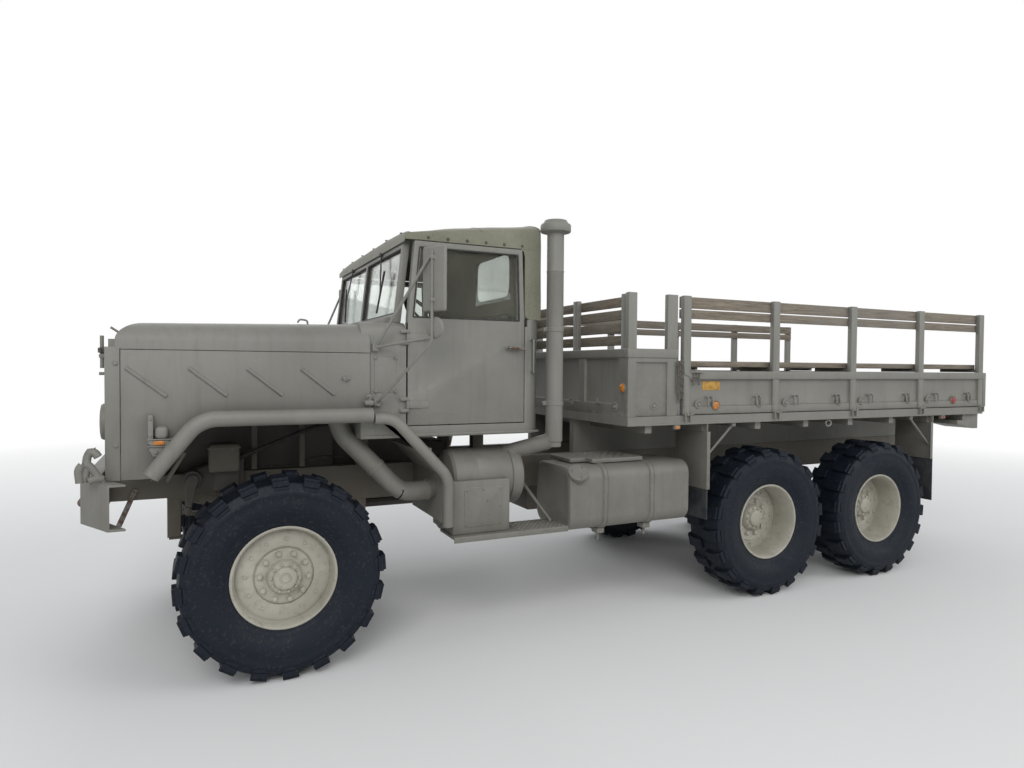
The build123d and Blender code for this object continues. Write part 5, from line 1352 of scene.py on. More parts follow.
# The cargo body: welded sheet and folded rails in tan over cross bearers, fixed front corners,
# and hinged sides with channel stakes. Round bosses, rope hooks and reflectors sit on the sides.
bed_node_bodies = (
    ("bed_front", "chassis", 0.004),
    ("bed_guards", "chassis", 0.002),
    ("tailgate", "tailgate", 0.003),
)
for node_name, body, edge in bed_node_bodies:
    bed_parts = [from_solid(node_name + "_sheet", node_name, edge)]
    if node_name == "bed_front":
        # A folded cap closes the fixed walls' upper edge and passes outside the posts.
        wall_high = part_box("bed_front")[1]
        low = (wall_high.x - 0.046, -1.215, 1.970)
        bed_parts.append(squared("cap", low, (wall_high.x + 0.008, 1.215, 2.034), 0.006, 3))
        for way in (1, -1):
            low = (wall_high.x - 0.456, way * 1.190, 1.968)
            bed_parts.append(squared("cap", low, (wall_high.x + 0.010, way * 1.244, 2.036), 0.006, 3))
    bed_piece = dressed(joined(node_name + "_dressed", bed_parts), tan_paint, body)
    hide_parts(node_name)

side_low, side_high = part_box("dropside_left")
side_face = 1.235
# Five stakes 0.072 m wide stand evenly along the side, the outer two flush with its ends.
stakes = [side_high.x - 0.036 - number * (side_high.x - side_low.x - 0.072) / 4 for number in range(5)]
boss_outline = (
    (0.0, -0.018),
    (0.036, -0.018),
    (0.036, 0.004),
    (0.032, 0.008),
    (0.026, 0.008),
    (0.022, 0.003),
    (0.018, 0.004),
    (0.013, 0.014),
    (0.0, 0.016),
)
plain_boss = turned("boss", boss_outline, 24)
rail_back = side_face - 0.026
rail_face = side_face - 0.012
for way, side_name in ((1, "left"), (-1, "right")):
    side_turn = Matrix.Scale(way, 4, (0, 1, 0))
    side_pieces = [from_solid("side", "dropside_" + side_name, 0.004)]
    for number, stake_x in enumerate(stakes):
        for z in (1.562, 1.605):
            head = Vector((stake_x + 0.022, side_face - 0.001, z))
            stud_at = side_turn @ Matrix.Translation(head) @ Matrix.Scale(0.30, 4)
            side_pieces.append(copied(plain_boss, "stud", stud_at))
        for off in (0.168, -0.122):
            boss_x = stake_x + off
            if side_low.x + 0.05 < boss_x < side_high.x - 0.05:
                place = Matrix.Translation((boss_x, rail_face, 1.612))
                side_pieces.append(copied(plain_boss, "side_boss", side_turn @ place))
        for off in (0.222, -0.205):
            hook_x = stake_x + off
            if side_low.x + 0.08 < hook_x < side_high.x - 0.08:
                for prong_x in (hook_x, hook_x - 0.046):
                    hook = (
                        (prong_x, way * (rail_back - 0.002), 1.668),
                        (prong_x, way * (rail_back + 0.034), 1.668),
                        (prong_x + 0.004, way * (rail_back + 0.040), 1.600),
                    )
                    side_pieces.append(bent_bar("rope_hook", hook, 0.007, 0.014, 2, 4))
                low = (hook_x - 0.060, way * (rail_back - 0.002), 1.654)
                high = (hook_x + 0.014, way * (rail_back + 0.004), 1.682)
                side_pieces.append(squared("hook_foot", low, high, 0.002))
        # The hinge foot that each stake's socket ends in.
        low = (stake_x - 0.066, way * 1.196, 1.531)
        high = (stake_x + 0.036, way * (side_face + 0.012), 1.546)
        side_pieces.append(squared("stake_foot", low, high, 0.006, 3))
    # Rolled beads stiffen the panel along its rails.
    for z in (1.602, 1.800):
        low = (side_low.x + 0.004, way * (rail_back - 0.004), z - 0.006)
        high = (side_high.x - 0.004, way * (rail_back + 0.004), z + 0.006)
        side_pieces.append(squared("rail_bead", low, high, 0.004))
    # The folded top rail passes in front of the stakes' feet and ends in a mitred corner plate.
    low = (side_low.x + 0.001, way * (rail_back + 0.006), 1.808)
    high = (side_high.x - 0.058, way * (side_face + 0.007), 1.872)
    side_pieces.append(squared("top_rail", low, high, 0.005, 3))
    corner = (
        (side_high.x - 0.084, way * (side_face - 0.002), 1.866),
        (side_high.x - 0.084, way * (side_face - 0.002), 1.812),
        (side_high.x - 0.004, way * (side_face - 0.002), 1.846),
        (side_high.x - 0.004, way * (side_face - 0.002), 1.884),
    )
    side_pieces.append(cut_plate("corner_plate", corner, (0, way * 0.008, 0), 0.002))
    # The corner bracket and latch at the front end.
    latch = (
        (side_high.x - 0.060, way * (side_face + 0.004), 1.862),
        (side_high.x - 0.100, way * (side_face + 0.020), 1.866),
        (side_high.x - 0.180, way * (side_face + 0.016), 1.862),
    )
    side_pieces.append(bent_bar("latch", latch, 0.007, 0.010, 3, 4))
    side_done = joined("dropside_dressed_" + side_name, side_pieces)
    dressed(side_done, tan_paint, "dropside_" + side_name)
    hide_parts("dropside_" + side_name)
bpy.data.objects.remove(plain_boss)

# Chains hang at the front corner of each side, in lengths of three to thirteen short oval
# links. They are bent from round wire and as dull and dirty as the frame.
link_outline = []
for number in range(12):
    angle = 2 * math.pi * number / 12
    x = 0.008 * math.cos(angle)
    z = 0.012 * math.sin(angle) + (0.006 if math.sin(angle) > 0 else -0.006)
    link_outline.append((x, 0.0, z))
plain_link = bent_bar("link", link_outline + link_outline[:1], 0.0032, 0, 1)
for way, side_name in ((1, "left"), (-1, "right")):
    links_here = []
    chain_spots = (
        # top of the chain, number of links
        (side_high.x + 0.016, 1.935, 13),
        (side_high.x + 0.034, 1.940, 11),
        (side_high.x + 0.054, 1.930, 12),
        (side_high.x + 0.070, 1.925, 9),
        (side_high.x - 0.086, 1.862, 4),
        (side_high.x - 0.112, 1.858, 3),
        (side_high.x - 0.140, 1.862, 4),
    )
    for chain_x, top_z, count in chain_spots:
        for number in range(count):
            place = Vector((chain_x, way * (side_face + 0.012), top_z - number * 0.026))
            turn = Matrix.Rotation(math.radians(90 * (number % 2) + 12), 4, "Z")
            links_here.append(copied(plain_link, "link", Matrix.Translation(place) @ turn))
    dressed(joined("chains_" + side_name, links_here), frame_paint, "chassis")
bpy.data.objects.remove(plain_link)

# Reflectors and lamps: small moulded lenses in amber and red on the body's side and under it.
def lens_plastic(name, deep, pale):
    """Tinted moulded plastic with a ribbed surface."""
    material, shader, place = finish_nodes(name, deep, 0.22)
    tone = ramp(material, noise(material, place, 25.0, 4.0), 0.35, 0.65)
    material.node_tree.links.new(layered(material, tone, deep, pale), shader.inputs["Base Color"])
    ribs = material.node_tree.nodes.new("ShaderNodeTexWave")
    ribs.inputs["Scale"].default_value = 90.0
    material.node_tree.links.new(place, ribs.inputs["Vector"])
    bumped(material, shader, ribs.outputs["Fac"], 0.3, 0.001)
    return material


amber_lens = lens_plastic("amber_lens", (0.36, 0.12, 0.015), (0.62, 0.22, 0.03))
red_lens = lens_plastic("red_lens", (0.16, 0.012, 0.010), (0.32, 0.03, 0.02))
pearl_lens = lens_plastic("pearl_lens", (0.55, 0.56, 0.55), (0.75, 0.76, 0.74))
lens_outline = (
    (0.0, -0.004),
    (0.033, -0.004),
    (0.033, 0.002),
    (0.031, 0.006),
    (0.026, 0.010),
    (0.016, 0.013),
    (0.0, 0.014),
)
plain_lens = turned("lens", lens_outline, 28)
ring_outline = (
    (0.032, -0.018),
    (0.041, -0.018),
    (0.041, 0.004),
    (0.037, 0.006),
    (0.034, 0.002),
    (0.032, -0.018),
)
lens_ring = turned("lens_ring", ring_outline, 28)
lens_spots = (
    # name, material, place, turn from facing sideways in degrees, body
    ("front_reflector", amber_lens, (0.436, 1.168, 1.743), -90, "chassis"),
    ("side_reflector", amber_lens, (axle_x - 3.237, rail_face + 0.002, 1.602), 0, "dropside"),
    ("rear_reflector", red_lens, (axle_x - 6.244, rail_face + 0.002, 1.602), 0, "dropside"),
)
for way, side_name in ((1, "left"), (-1, "right")):
    for lens_name, lens_material, place, turn, body in lens_spots:
        rides_on = body if body == "chassis" else "dropside_" + side_name
        placing = Matrix.Scale(way, 4, (0, 1, 0)) @ Matrix.Translation(place)
        placing = placing @ Matrix.Rotation(math.radians(turn), 4, "Z")
        lens = copied(plain_lens, lens_name + "_" + side_name, placing)
        dressed(lens, lens_material, rides_on)
        ring = copied(lens_ring, lens_name + "_ring_" + side_name, placing)
        dressed(ring, tan_paint, rides_on)
bpy.data.objects.remove(plain_lens)
bpy.data.objects.remove(lens_ring)
# Marker lamps hang under the sills in small square housings, the tail lamps in larger ones.
for number, (low, high, tail) in enumerate(
    (
        ((-0.062, 1.195, 1.423), (-0.006, 1.231, 1.459), False),
        ((-3.299, 1.195, 1.423), (-3.243, 1.231, 1.459), False),
        ((-3.883, 0.760, 1.349), (-3.835, 0.880, 1.459), True),
    )
):
    for way, side_name in ((1, "left"), (-1, "right")):
        cup_low = (low[0], way * low[1], low[2])
        cup_high = (high[0], way * high[1], high[2])
        cup = squared("lamp_cup_" + str(number) + "_" + side_name, cup_low, cup_high, 0.006, 3)
        dressed(cup, tan_paint, "chassis")
        if number == 0 and way == 1:
            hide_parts("bed_lamps")
        if tail:
            low_face = (low[0] - 0.004, way * (low[1] + 0.012), low[2] + 0.012)
            high_face = (low[0] + 0.004, way * (high[1] - 0.012), high[2] - 0.014)
            face_material = red_lens
        else:
            low_face = (low[0] + 0.010, way * (high[1] - 0.004), low[2] + 0.006)
            high_face = (high[0] - 0.010, way * (high[1] + 0.004), high[2] - 0.010)
            face_material = amber_lens if number == 0 else red_lens
        shell = squared("lamp_shell_" + str(number) + "_" + side_name, low_face, high_face, 0.003, 3)
        dressed(shell, face_material, "chassis")

# The fixed front end of the body: pressed bosses and a small handle on the front wall, and the
# ring that hangs from the guard. Everything is in the body's tan.
plain_boss = turned("boss", boss_outline, 24)
wall_pieces = []
for way in (1, -1):
    side_turn = Matrix.Scale(way, 4, (0, 1, 0))
    for y in (1.070, 0.420):
        place = Matrix.Translation((0.434, y, 1.598)) @ Matrix.Rotation(math.radians(-90), 4, "Z")
        wall_pieces.append(copied(plain_boss, "wall_boss", side_turn @ place))
    place = Matrix.Translation((axle_x - 2.641, rail_back + 0.004, 1.608))
    wall_pieces.append(copied(plain_boss, "corner_boss", side_turn @ place))
    loop = (
        (0.432, way * 0.840, 1.612),
        (0.452, way * 0.842, 1.614),
        (0.454, way * 0.854, 1.660),
        (0.452, way * 0.868, 1.614),
        (0.432, way * 0.870, 1.612),
    )
    wall_pieces.append(bent_bar("wall_loop", loop, 0.0055, 0.008))
    hanger = []
    for step in range(17):
        angle = 2 * math.pi * step / 16
        x = axle_x - 4.531 + 0.034 * math.cos(angle)
        hanger.append((x, way * 1.205, 1.424 + 0.026 * math.sin(angle)))
    wall_pieces.append(bent_bar("hanging_ring", hanger, 0.0085, 0, 3))
bpy.data.objects.remove(plain_boss)
dressed(joined("wall_fittings", wall_pieces), tan_paint, "chassis")

# A blank plate in faded yellow is fixed to the left side's panel.
plate_paint, plate_shader, plate_place = finish_nodes("plate_paint", (0.42, 0.22, 0.02), 0.5)
plate_fade = ramp(plate_paint, noise(plate_paint, plate_place, 40.0, 6.0), 0.35, 0.65)
plate_tone = layered(plate_paint, plate_fade, (0.30, 0.16, 0.03), (0.50, 0.28, 0.04))
plate_paint.node_tree.links.new(plate_tone, plate_shader.inputs["Base Color"])
blank = squared("blank_plate", (axle_x - 3.290, 1.206, 1.722), (axle_x - 3.112, 1.2125, 1.792), 0.002)
dressed(blank, plate_paint, "dropside_left")

# Under the wheel arch: the ribbed inner sheet, a dirty steel box on the rail, the pitman arm's
# pipes and a black hose that runs back along the frame. At the front a rusty drilled strap
# hangs from the bumper's bracket, and tow gear lies heaped on each bumper end.
arch_pieces = []
hose_pieces = []
rust_pieces = []
tow_pieces = []
for way in (1, -1):
    for x in (axle_x - 0.194, axle_x + 0.120):
        low = (x - 0.018, way * 0.440, 1.184)
        high = (x + 0.018, way * 0.475, 1.500)
        arch_pieces.append(squared("arch_rib", low, high, 0.006, 3))
    low = (axle_x + 0.222, way * 0.500, 1.200)
    high = (axle_x + 0.406, way * 0.640, 1.380)
    arch_pieces.append(squared("arch_box", low, high, 0.016, 4))
    low = (axle_x + 0.216, way * 0.496, 1.348)
    high = (axle_x + 0.412, way * 0.644, 1.364)
    arch_pieces.append(squared("arch_lid", low, high, 0.004))
    low = (axle_x + 0.270, way * 0.430, 1.270)
    high = (axle_x + 0.360, way * 0.510, 1.320)
    arch_pieces.append(squared("arch_arm", low, high, 0.004))
    rod = ((axle_x + 0.545, way * 0.900, 1.370), (axle_x + 0.640, way * 0.880, 1.200))
    arch_pieces.append(bent_bar("lip_brace", rod, 0.014))
    hose = (
        (axle_x + 0.230, way * 0.560, 1.270),
        (axle_x + 0.100, way * 0.560, 1.330),
        (axle_x - 0.269, way * 0.540, 1.470),
        (axle_x - 0.400, way * 0.440, 1.480),
    )
    hose_pieces.append(bent_bar("frame_hose", hose, 0.014, 0.060, 3, 5))
    pipe = (
        (axle_x + 0.180, way * 0.445, 1.200),
        (axle_x - 0.100, way * 0.445, 1.190),
        (axle_x - 0.300, way * 0.445, 1.250),
        (axle_x - 0.620, way * 0.445, 1.230),
    )
    hose_pieces.append(bent_bar("brake_pipe", pipe, 0.006, 0.050))
    strap = (
        (axle_x + 0.815, way * 0.446, 1.085),
        (axle_x + 0.840, way * 0.446, 1.100),
        (axle_x + 0.938, way * 0.446, 0.872),
        (axle_x + 0.926, way * 0.446, 0.855),
        (axle_x + 0.906, way * 0.446, 0.862),
    )
    rust_pieces.append(cut_plate("rusty_strap", strap, (0, way * 0.010, 0), 0.003))
    for heap in (
        ((1.040, 1.165, 1.262), (1.048, 1.168, 1.345), (1.005, 1.160, 1.368), (0.962, 1.150, 1.290)),
        ((1.020, 1.152, 1.262), (1.005, 1.152, 1.415), (0.980, 1.158, 1.435), (0.955, 1.165, 1.395)),
        ((1.000, 1.175, 1.268), (0.960, 1.165, 1.285), (0.940, 1.150, 1.275)),
    ):
        path = [(axle_x + x, way * y, z) for x, y, z in heap]
        tow_pieces.append(bent_bar("tow_gear", path, 0.021, 0.030, 3, 5))
dressed(joined("bumper_tow_gear", tow_pieces), tan_paint, "chassis")
dressed(joined("arch_fittings", arch_pieces), frame_paint, "chassis")
dressed(joined("arch_hoses", hose_pieces), seal_rubber, "chassis")
dressed(joined("rusty_gear", rust_pieces), worn_steel, "chassis")

# The wood: rack slats and bench boards of rough-sawn planks, bolted to the stakes and brackets,
# greyed by the weather, with the grain along each board.
def plank_wood(name, grain):
    """Weathered wood with its grain along X or Y, dark cracks and greyed high spots."""
    material, shader, place = finish_nodes(name, (0.24, 0.20, 0.15), 0.85)
    along = (0.35, 6.0, 6.0) if grain == "X" else (6.0, 0.35, 6.0)
    fibres = noise(material, place, 16.0, 9.0, stretch=along, sharp=0.7)
    broad = noise(material, place, 2.2, 4.0)
    fibre_share = ramp(material, fibres, 0.32, 0.68)
    colour = layered(material, fibre_share, (0.085, 0.068, 0.052), (0.27, 0.228, 0.172))
    colour = layered(material, ramp(material, broad, 0.38, 0.66, 0.0, 0.6), colour, (0.185, 0.172, 0.150))
    cracks = ramp(material, noise(material, place, 34.0, 4.0, stretch=along, sharp=0.8), 0.60, 0.70, 0.0, 0.8)
    colour = layered(material, cracks, colour, (0.05, 0.04, 0.03))
    material.node_tree.links.new(colour, shader.inputs["Base Color"])
    bumped(material, shader, fibres, 0.5, 0.003)
    return material


long_wood = plank_wood("long_wood", "X")
cross_wood = plank_wood("cross_wood", "Y")
for way, side_name in ((1, "left"), (-1, "right")):
    boards = from_solid("boards_" + side_name, "side_wood_" + side_name, 0.004)
    dressed(boards, long_wood, "dropside_" + side_name)
    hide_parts("side_wood_" + side_name)
front_boards = dressed(from_solid("front_boards", "rack_slats_front", 0.004), cross_wood, "chassis")
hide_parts("rack_slats_front")

# The mud flaps: thick sheets of black rubber that hang from the guards' brackets, with road
# dust dried on them in patches.
flap_rubber, flap_shader, flap_place = finish_nodes("flap_rubber", (0.015, 0.018, 0.022), 0.75)
flap_dust = ramp(flap_rubber, noise(flap_rubber, flap_place, 8.0, 8.0, sharp=0.7), 0.42, 0.72, 0.0, 0.6)
flap_tone = layered(flap_rubber, flap_dust, (0.012, 0.015, 0.020), (0.08, 0.075, 0.065))
flap_rubber.node_tree.links.new(flap_tone, flap_shader.inputs["Base Color"])
bumped(flap_rubber, flap_shader, noise(flap_rubber, flap_place, 60.0, 4.0), 0.3, 0.002)
flaps = dressed(from_solid("flaps_dressed", "mud_flaps", 0.003), flap_rubber, "chassis")
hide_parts("mud_flaps")

# The hood's fittings: a slotted steel grille behind a welded brush guard with a clamped rod at
# its end, round headlamps in pressed rims, and on each fender a bracket with a marker lamp.
grille_pieces = [from_solid("grille", "hood_grille", 0.002)]
for way in (1, -1):
    end_y = way * 1.000
    rod_x = strip_front + 0.021
    grille_pieces.append(bent_bar("guard_rod", ((rod_x, end_y, 1.868), (rod_x, end_y, 2.048)), 0.010))
    peg = ((strip_front - 0.004, end_y, 1.838), (rod_x + 0.014, end_y, 1.838))
    grille_pieces.append(bent_bar("guard_peg", peg, 0.009))
    low = (rod_x - 0.024, end_y - 0.016, 1.925)
    high = (rod_x + 0.014, end_y + 0.016, 1.946)
    grille_pieces.append(squared("guard_clamp", low, high, 0.004))
grille_dressed = dressed(joined("grille_dressed", grille_pieces), tan_paint, "hood")
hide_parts("hood_grille")

lamp_outline = (
    (0.0, 0.0),
    (0.103, 0.0),
    (0.106, 0.010),
    (0.104, 0.030),
    (0.098, 0.040),
    (0.088, 0.042),
    (0.084, 0.033),
    (0.0, 0.033),
)
lens_rise = ((0.0, 0.031), (0.086, 0.031), (0.084, 0.036), (0.050, 0.041), (0.0, 0.043))
plain_rim = turned("lamp_rim", lamp_outline, 40)
plain_face = turned("lamp_face", lens_rise, 40)
clamp_bolt = hex_bolt("clamp_bolt", 0.007, 0.006)
marker_x = axle_x + 0.662
lamp_pieces = []
lens_pieces = []
amber_pieces = []
iron_pieces = []
for way in (1, -1):
    facing = Matrix.Translation((strip_front, way * 0.850, 1.560))
    facing = facing @ Matrix.Rotation(math.radians(-90), 4, "Z")
    lamp_pieces.append(copied(plain_rim, "rim", facing))
    lens_pieces.append(copied(plain_face, "face", facing))
    side_turn = Matrix.Scale(way, 4, (0, 1, 0))
    near = way * (hood_half - 0.002)
    low = (marker_x + 0.034, near, 1.452)
    high = (marker_x + 0.060, way * (hood_half + 0.058), 1.612)
    lamp_pieces.append(squared("upright", low, high, 0.004))
    low = (marker_x - 0.040, near, 1.478)
    high = (marker_x + 0.026, way * (hood_half + 0.064), 1.548)
    lamp_pieces.append(squared("dome", low, high, 0.022, 5))
    low = (marker_x - 0.060, near, 1.436)
    high = (marker_x + 0.066, way * (hood_half + 0.068), 1.442)
    lamp_pieces.append(squared("shelf", low, high, 0.002))
    low = (marker_x - 0.060, near, 1.474)
    high = (marker_x + 0.066, way * (hood_half + 0.068), 1.480)
    lamp_pieces.append(squared("shelf", low, high, 0.002))
    low = (marker_x - 0.050, near, 1.441)
    high = (marker_x + 0.054, way * (hood_half + 0.060), 1.475)
    lamp_pieces.append(squared("housing", low, high, 0.008, 3))
    low = (marker_x - 0.022, way * (hood_half + 0.056), 1.446)
    high = (marker_x + 0.032, way * (hood_half + 0.065), 1.470)
    amber_pieces.append(squared("amber", low, high, 0.004, 3))
    foot = ((0.062, 1.437), (-0.036, 1.437), (-0.004, 1.379), (0.036, 1.379))
    foot = [(marker_x + x, near, z) for x, z in foot]
    lamp_pieces.append(cut_plate("foot", foot, (0, way * 0.058, 0), 0.006))
    for x, z in ((0.047, 1.590), (0.047, 1.500), (0.020, 1.405)):
        place = Matrix.Translation((marker_x + x, hood_half + 0.057, z))
        lamp_pieces.append(copied(clamp_bolt, "bolt", side_turn @ place))
    end_y = way * 1.000
    low = (strip_front - 0.002, end_y - 0.018, 1.952)
    high = (strip_front + 0.040, end_y + 0.018, 1.982)
    iron_pieces.append(squared("dark_clamp", low, high, 0.006))
    for z in (1.960, 1.974):
        place = Matrix.Translation((strip_front + 0.026, 1.017, z))
        iron_pieces.append(copied(clamp_bolt, "bolt", side_turn @ place))
    hook = (
        (cover_nose - 0.030, way * 0.900, 2.055),
        (cover_nose + 0.004, way * 0.900, 2.078),
        (cover_nose + 0.036, way * 0.900, 2.100),
    )
    lamp_pieces.append(bent_bar("hood_pull", hook, 0.007, 0.010))
for plain in (plain_rim, plain_face, clamp_bolt):
    bpy.data.objects.remove(plain)
lamps_dressed = dressed(joined("lamps_dressed", lamp_pieces), tan_paint, "hood")
dressed(joined("head_lenses", lens_pieces), pearl_lens, "hood")
dressed(joined("marker_lenses", amber_pieces), amber_lens, "hood")
dressed(joined("dark_clamps", iron_pieces), oily_iron, "hood")
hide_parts("hood_lamps")

# The mirrors: tall flat heads and small round ones below them, held by bent tube arms that
# reach out from a plate on the cowl and one on the lower door post.
mirror_face, mirror_shader, mirror_place = finish_nodes("mirror_face", (0.72, 0.75, 0.76), 0.08, 1.0)
mirror_dust = noise(mirror_face, mirror_place, 14.0, 8.0, sharp=0.7)
mirror_dust = ramp(mirror_face, mirror_dust, 0.45, 0.75, 0.05, 0.45)
mirror_face.node_tree.links.new(mirror_dust, mirror_shader.inputs["Roughness"])
mirror_tone = layered(mirror_face, mirror_dust, (0.72, 0.75, 0.76), (0.40, 0.38, 0.33))
mirror_face.node_tree.links.new(mirror_tone, mirror_shader.inputs["Base Color"])
head_place = Vector((axle_x - 0.850, 1.380, 2.430))
round_place = Vector((axle_x - 0.850, 1.380, 2.130))
head_turn = Matrix.Rotation(math.radians(32), 4, "Z")
head = squared("head", (-0.014, -0.089, -0.200), (0.014, 0.089, 0.200), 0.012, 4)
face = squared("face", (-0.0155, -0.080, -0.190), (-0.0135, 0.080, 0.190), 0.001, 1)
round_outline = (
    (0.0, -0.012),
    (0.062, -0.012),
    (0.068, -0.008),
    (0.068, -0.002),
    (0.060, 0.008),
    (0.036, 0.014),
    (0.0, 0.015),
)
round_head = turned("round_head", round_outline, 32)
glass_outline = ((0.0, -0.015), (0.035, -0.0145), (0.060, -0.0125), (0.060, -0.011), (0.0, -0.011))
round_face = turned("round_face", glass_outline, 32)
arm_bolt = hex_bolt("arm_bolt", 0.009, 0.007)
to_front = Matrix.Rotation(math.radians(-90), 4, "Z")
foot_y = 1.111
for way, side_name in ((1, "left"), (-1, "right")):
    side_turn = Matrix.Scale(way, 4, (0, 1, 0))
    head_at = side_turn @ Matrix.Translation(head_place) @ head_turn
    round_at = side_turn @ Matrix.Translation(round_place) @ head_turn @ to_front
    mirror_pieces = [copied(head, "mirror_head", head_at), copied(round_head, "mirror_round", round_at)]
    low_foot = (axle_x - 0.562, foot_y, 1.660)
    high_foot = (axle_x - 0.552, foot_y, 2.010)
    stem_x, stem_y = head_place.x + 0.020, head_place.y + 0.006
    arms = (
        (low_foot, (axle_x - 0.580, foot_y + 0.040, 1.690), (stem_x, stem_y, 2.040), (stem_x, stem_y, 2.600)),
        (high_foot, (stem_x, stem_y, 2.070)),
        (high_foot, (axle_x - 0.572, foot_y + 0.036, 2.060), (stem_x - 0.005, stem_y, 2.600)),
    )
    for arm in arms:
        path = [(x, way * y, z) for x, y, z in arm]
        mirror_pieces.append(bent_bar("arm", path, 0.0095, 0.030 if len(path) > 2 else 0.0, 3, 5))
    for x, y, z in (low_foot, high_foot):
        low = (x - 0.022, way * 1.084, z - 0.026)
        high = (x + 0.022, way * 1.114, z + 0.026)
        mirror_pieces.append(squared("arm_foot", low, high, 0.005))
        for off in (-0.014, 0.014):
            bolt_place = Matrix.Translation((x, 1.113, z + off))
            mirror_pieces.append(copied(arm_bolt, "bolt", side_turn @ bolt_place))
    for z in (2.300, 2.560):
        low = (stem_x - 0.020, way * stem_y - 0.014, z - 0.012)
        high = (stem_x + 0.012, way * stem_y + 0.014, z + 0.012)
        mirror_pieces.append(squared("head_clip", low, high, 0.003))
    mirror = dressed(joined("mirror_" + side_name, mirror_pieces), tan_paint, "chassis")
    if way == 1:
        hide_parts("mirrors")
    faces = [copied(face, "flat_face", head_at), copied(round_face, "round_face", round_at)]
    dressed(joined("mirror_faces_" + side_name, faces), mirror_face, "chassis")
for plain in (head, face, round_head, round_face, arm_bolt):
    bpy.data.objects.remove(plain)

# The canvas roof: one sheet of faded olive duck, stretched over bows from the windshield to the
# cab's rear, with a hemmed skirt at each side, quarter pieces behind the doors and a curtain
# down to the metal. Its front edge is held by snaps.
canvas_duck, duck_shader, duck_place = finish_nodes("canvas_duck", (0.16, 0.158, 0.112), 0.95)
duck_links = canvas_duck.node_tree.links
faded = ramp(canvas_duck, noise(canvas_duck, duck_place, 2.2, 6.0, sharp=0.62), 0.34, 0.68)
duck_tone = layered(canvas_duck, faded, (0.145, 0.142, 0.100), (0.215, 0.212, 0.160))
stains = noise(canvas_duck, duck_place, 5.0, 8.0, stretch=(1.5, 1.5, 0.4), sharp=0.7)
stains = ramp(canvas_duck, stains, 0.55, 0.75, 0.0, 0.55)
duck_tone = layered(canvas_duck, stains, duck_tone, (0.095, 0.090, 0.065))
threads = times(
    canvas_duck,
    noise(canvas_duck, duck_place, 330.0, 1.0, stretch=(1.0, 0.12, 0.12)),
    noise(canvas_duck, duck_place, 330.0, 1.0, stretch=(0.12, 1.0, 1.0)),
)
thread_share = ramp(canvas_duck, threads, 0.16, 0.36, 0.0, 0.35)
duck_tone = layered(canvas_duck, thread_share, duck_tone, (0.26, 0.255, 0.20))
duck_links.new(duck_tone, duck_shader.inputs["Base Color"])
duck_shader.inputs["Sheen Weight"].default_value = 0.25
creases = bumped(canvas_duck, duck_shader, noise(canvas_duck, duck_place, 7.0, 5.0, sharp=0.6), 0.5, 0.010)
bumped(canvas_duck, duck_shader, threads, 0.35, 0.0008, creases)

canopy_half = 1.066
skirt_z = 2.722
canopy_front = axle_x - 0.752
canopy_rear = axle_x - 1.752
canopy_stations = [canopy_front, canopy_front - 0.020]
canopy_stations += [canopy_front - 0.087 - number * 0.0654 for number in range(12)]
canopy_stations += [axle_x - 1.624, axle_x - 1.690, axle_x - 1.738, canopy_rear]
share_across = (1.0, 0.996, 0.982, 0.955, 0.92, 0.87, 0.80, 0.70, 0.60, 0.50, 0.40, 0.30, 0.20, 0.10)
across_places = list(share_across) + [0.0] + [-share for share in reversed(share_across)]


def canopy_eave(x):
    """Height at which the canvas turns over from the top to the side."""
    return 2.762 + 0.110 * (canopy_front - x) / (canopy_front - canopy_rear)


def canopy_top(x, y):
    """Height of the canvas over the bows, sagging between them and pulled down at its corners."""
    share = min(1.0, abs(y) / canopy_half)
    along_share = (canopy_front - x) / (canopy_front - canopy_rear)
    crown = 0.30 + 0.70 * math.sin(math.pi / 2 * min(1.0, along_share / 0.5))
    rise = 0.078 * crown * (1 - share ** 5) ** 0.77
    sag = 0.007 * math.sin(3 * math.pi * along_share) ** 2 * (1 - share ** 4)
    pucker = 0.0025 * math.sin(21 * y + 9 * x) * math.sin(13 * x - 5 * y) * (1 - share ** 8)
    return canopy_eave(x) + rise - sag + pucker


section = [(canopy_front, canopy_half, skirt_z), (canopy_front, canopy_half, 2.742)]
for share in across_places:
    y = share * canopy_half
    section.append((canopy_front, y, canopy_top(canopy_front, y)))
section += [(canopy_front, -canopy_half, 2.742), (canopy_front, -canopy_half, skirt_z)]
canopy = traced("canopy", section)
for before, after in zip(canopy_stations, canopy_stations[1:]):
    bpy.ops.mesh.extrude_region_move(TRANSFORM_OT_translate={"value": (after - before, 0, 0)})
bpy.ops.object.mode_set(mode="OBJECT")
for point in canopy.data.vertices:
    eave = canopy_eave(point.co.x)
    if abs(point.co.y) > canopy_half - 0.0001 and point.co.z < 2.750:
        point.co.z = skirt_z + (point.co.z - skirt_z) / 0.040 * (eave - skirt_z)
        point.co.y += math.copysign(0.002 * math.sin(40 * point.co.x), point.co.y)
    else:
        point.co.z = canopy_top(point.co.x, point.co.y)
# A flap laps down over the windshield's header.
picked(canopy, "VERT", lambda place: place.x > canopy_front - 0.001 and place.z > 2.745)
bpy.ops.mesh.extrude_region_move(TRANSFORM_OT_translate={"value": (0.003, 0, -1.0)})
bpy.ops.object.mode_set(mode="OBJECT")
for point in canopy.data.vertices:
    if point.co.z < 2.0:
        point.co.z = 2.706
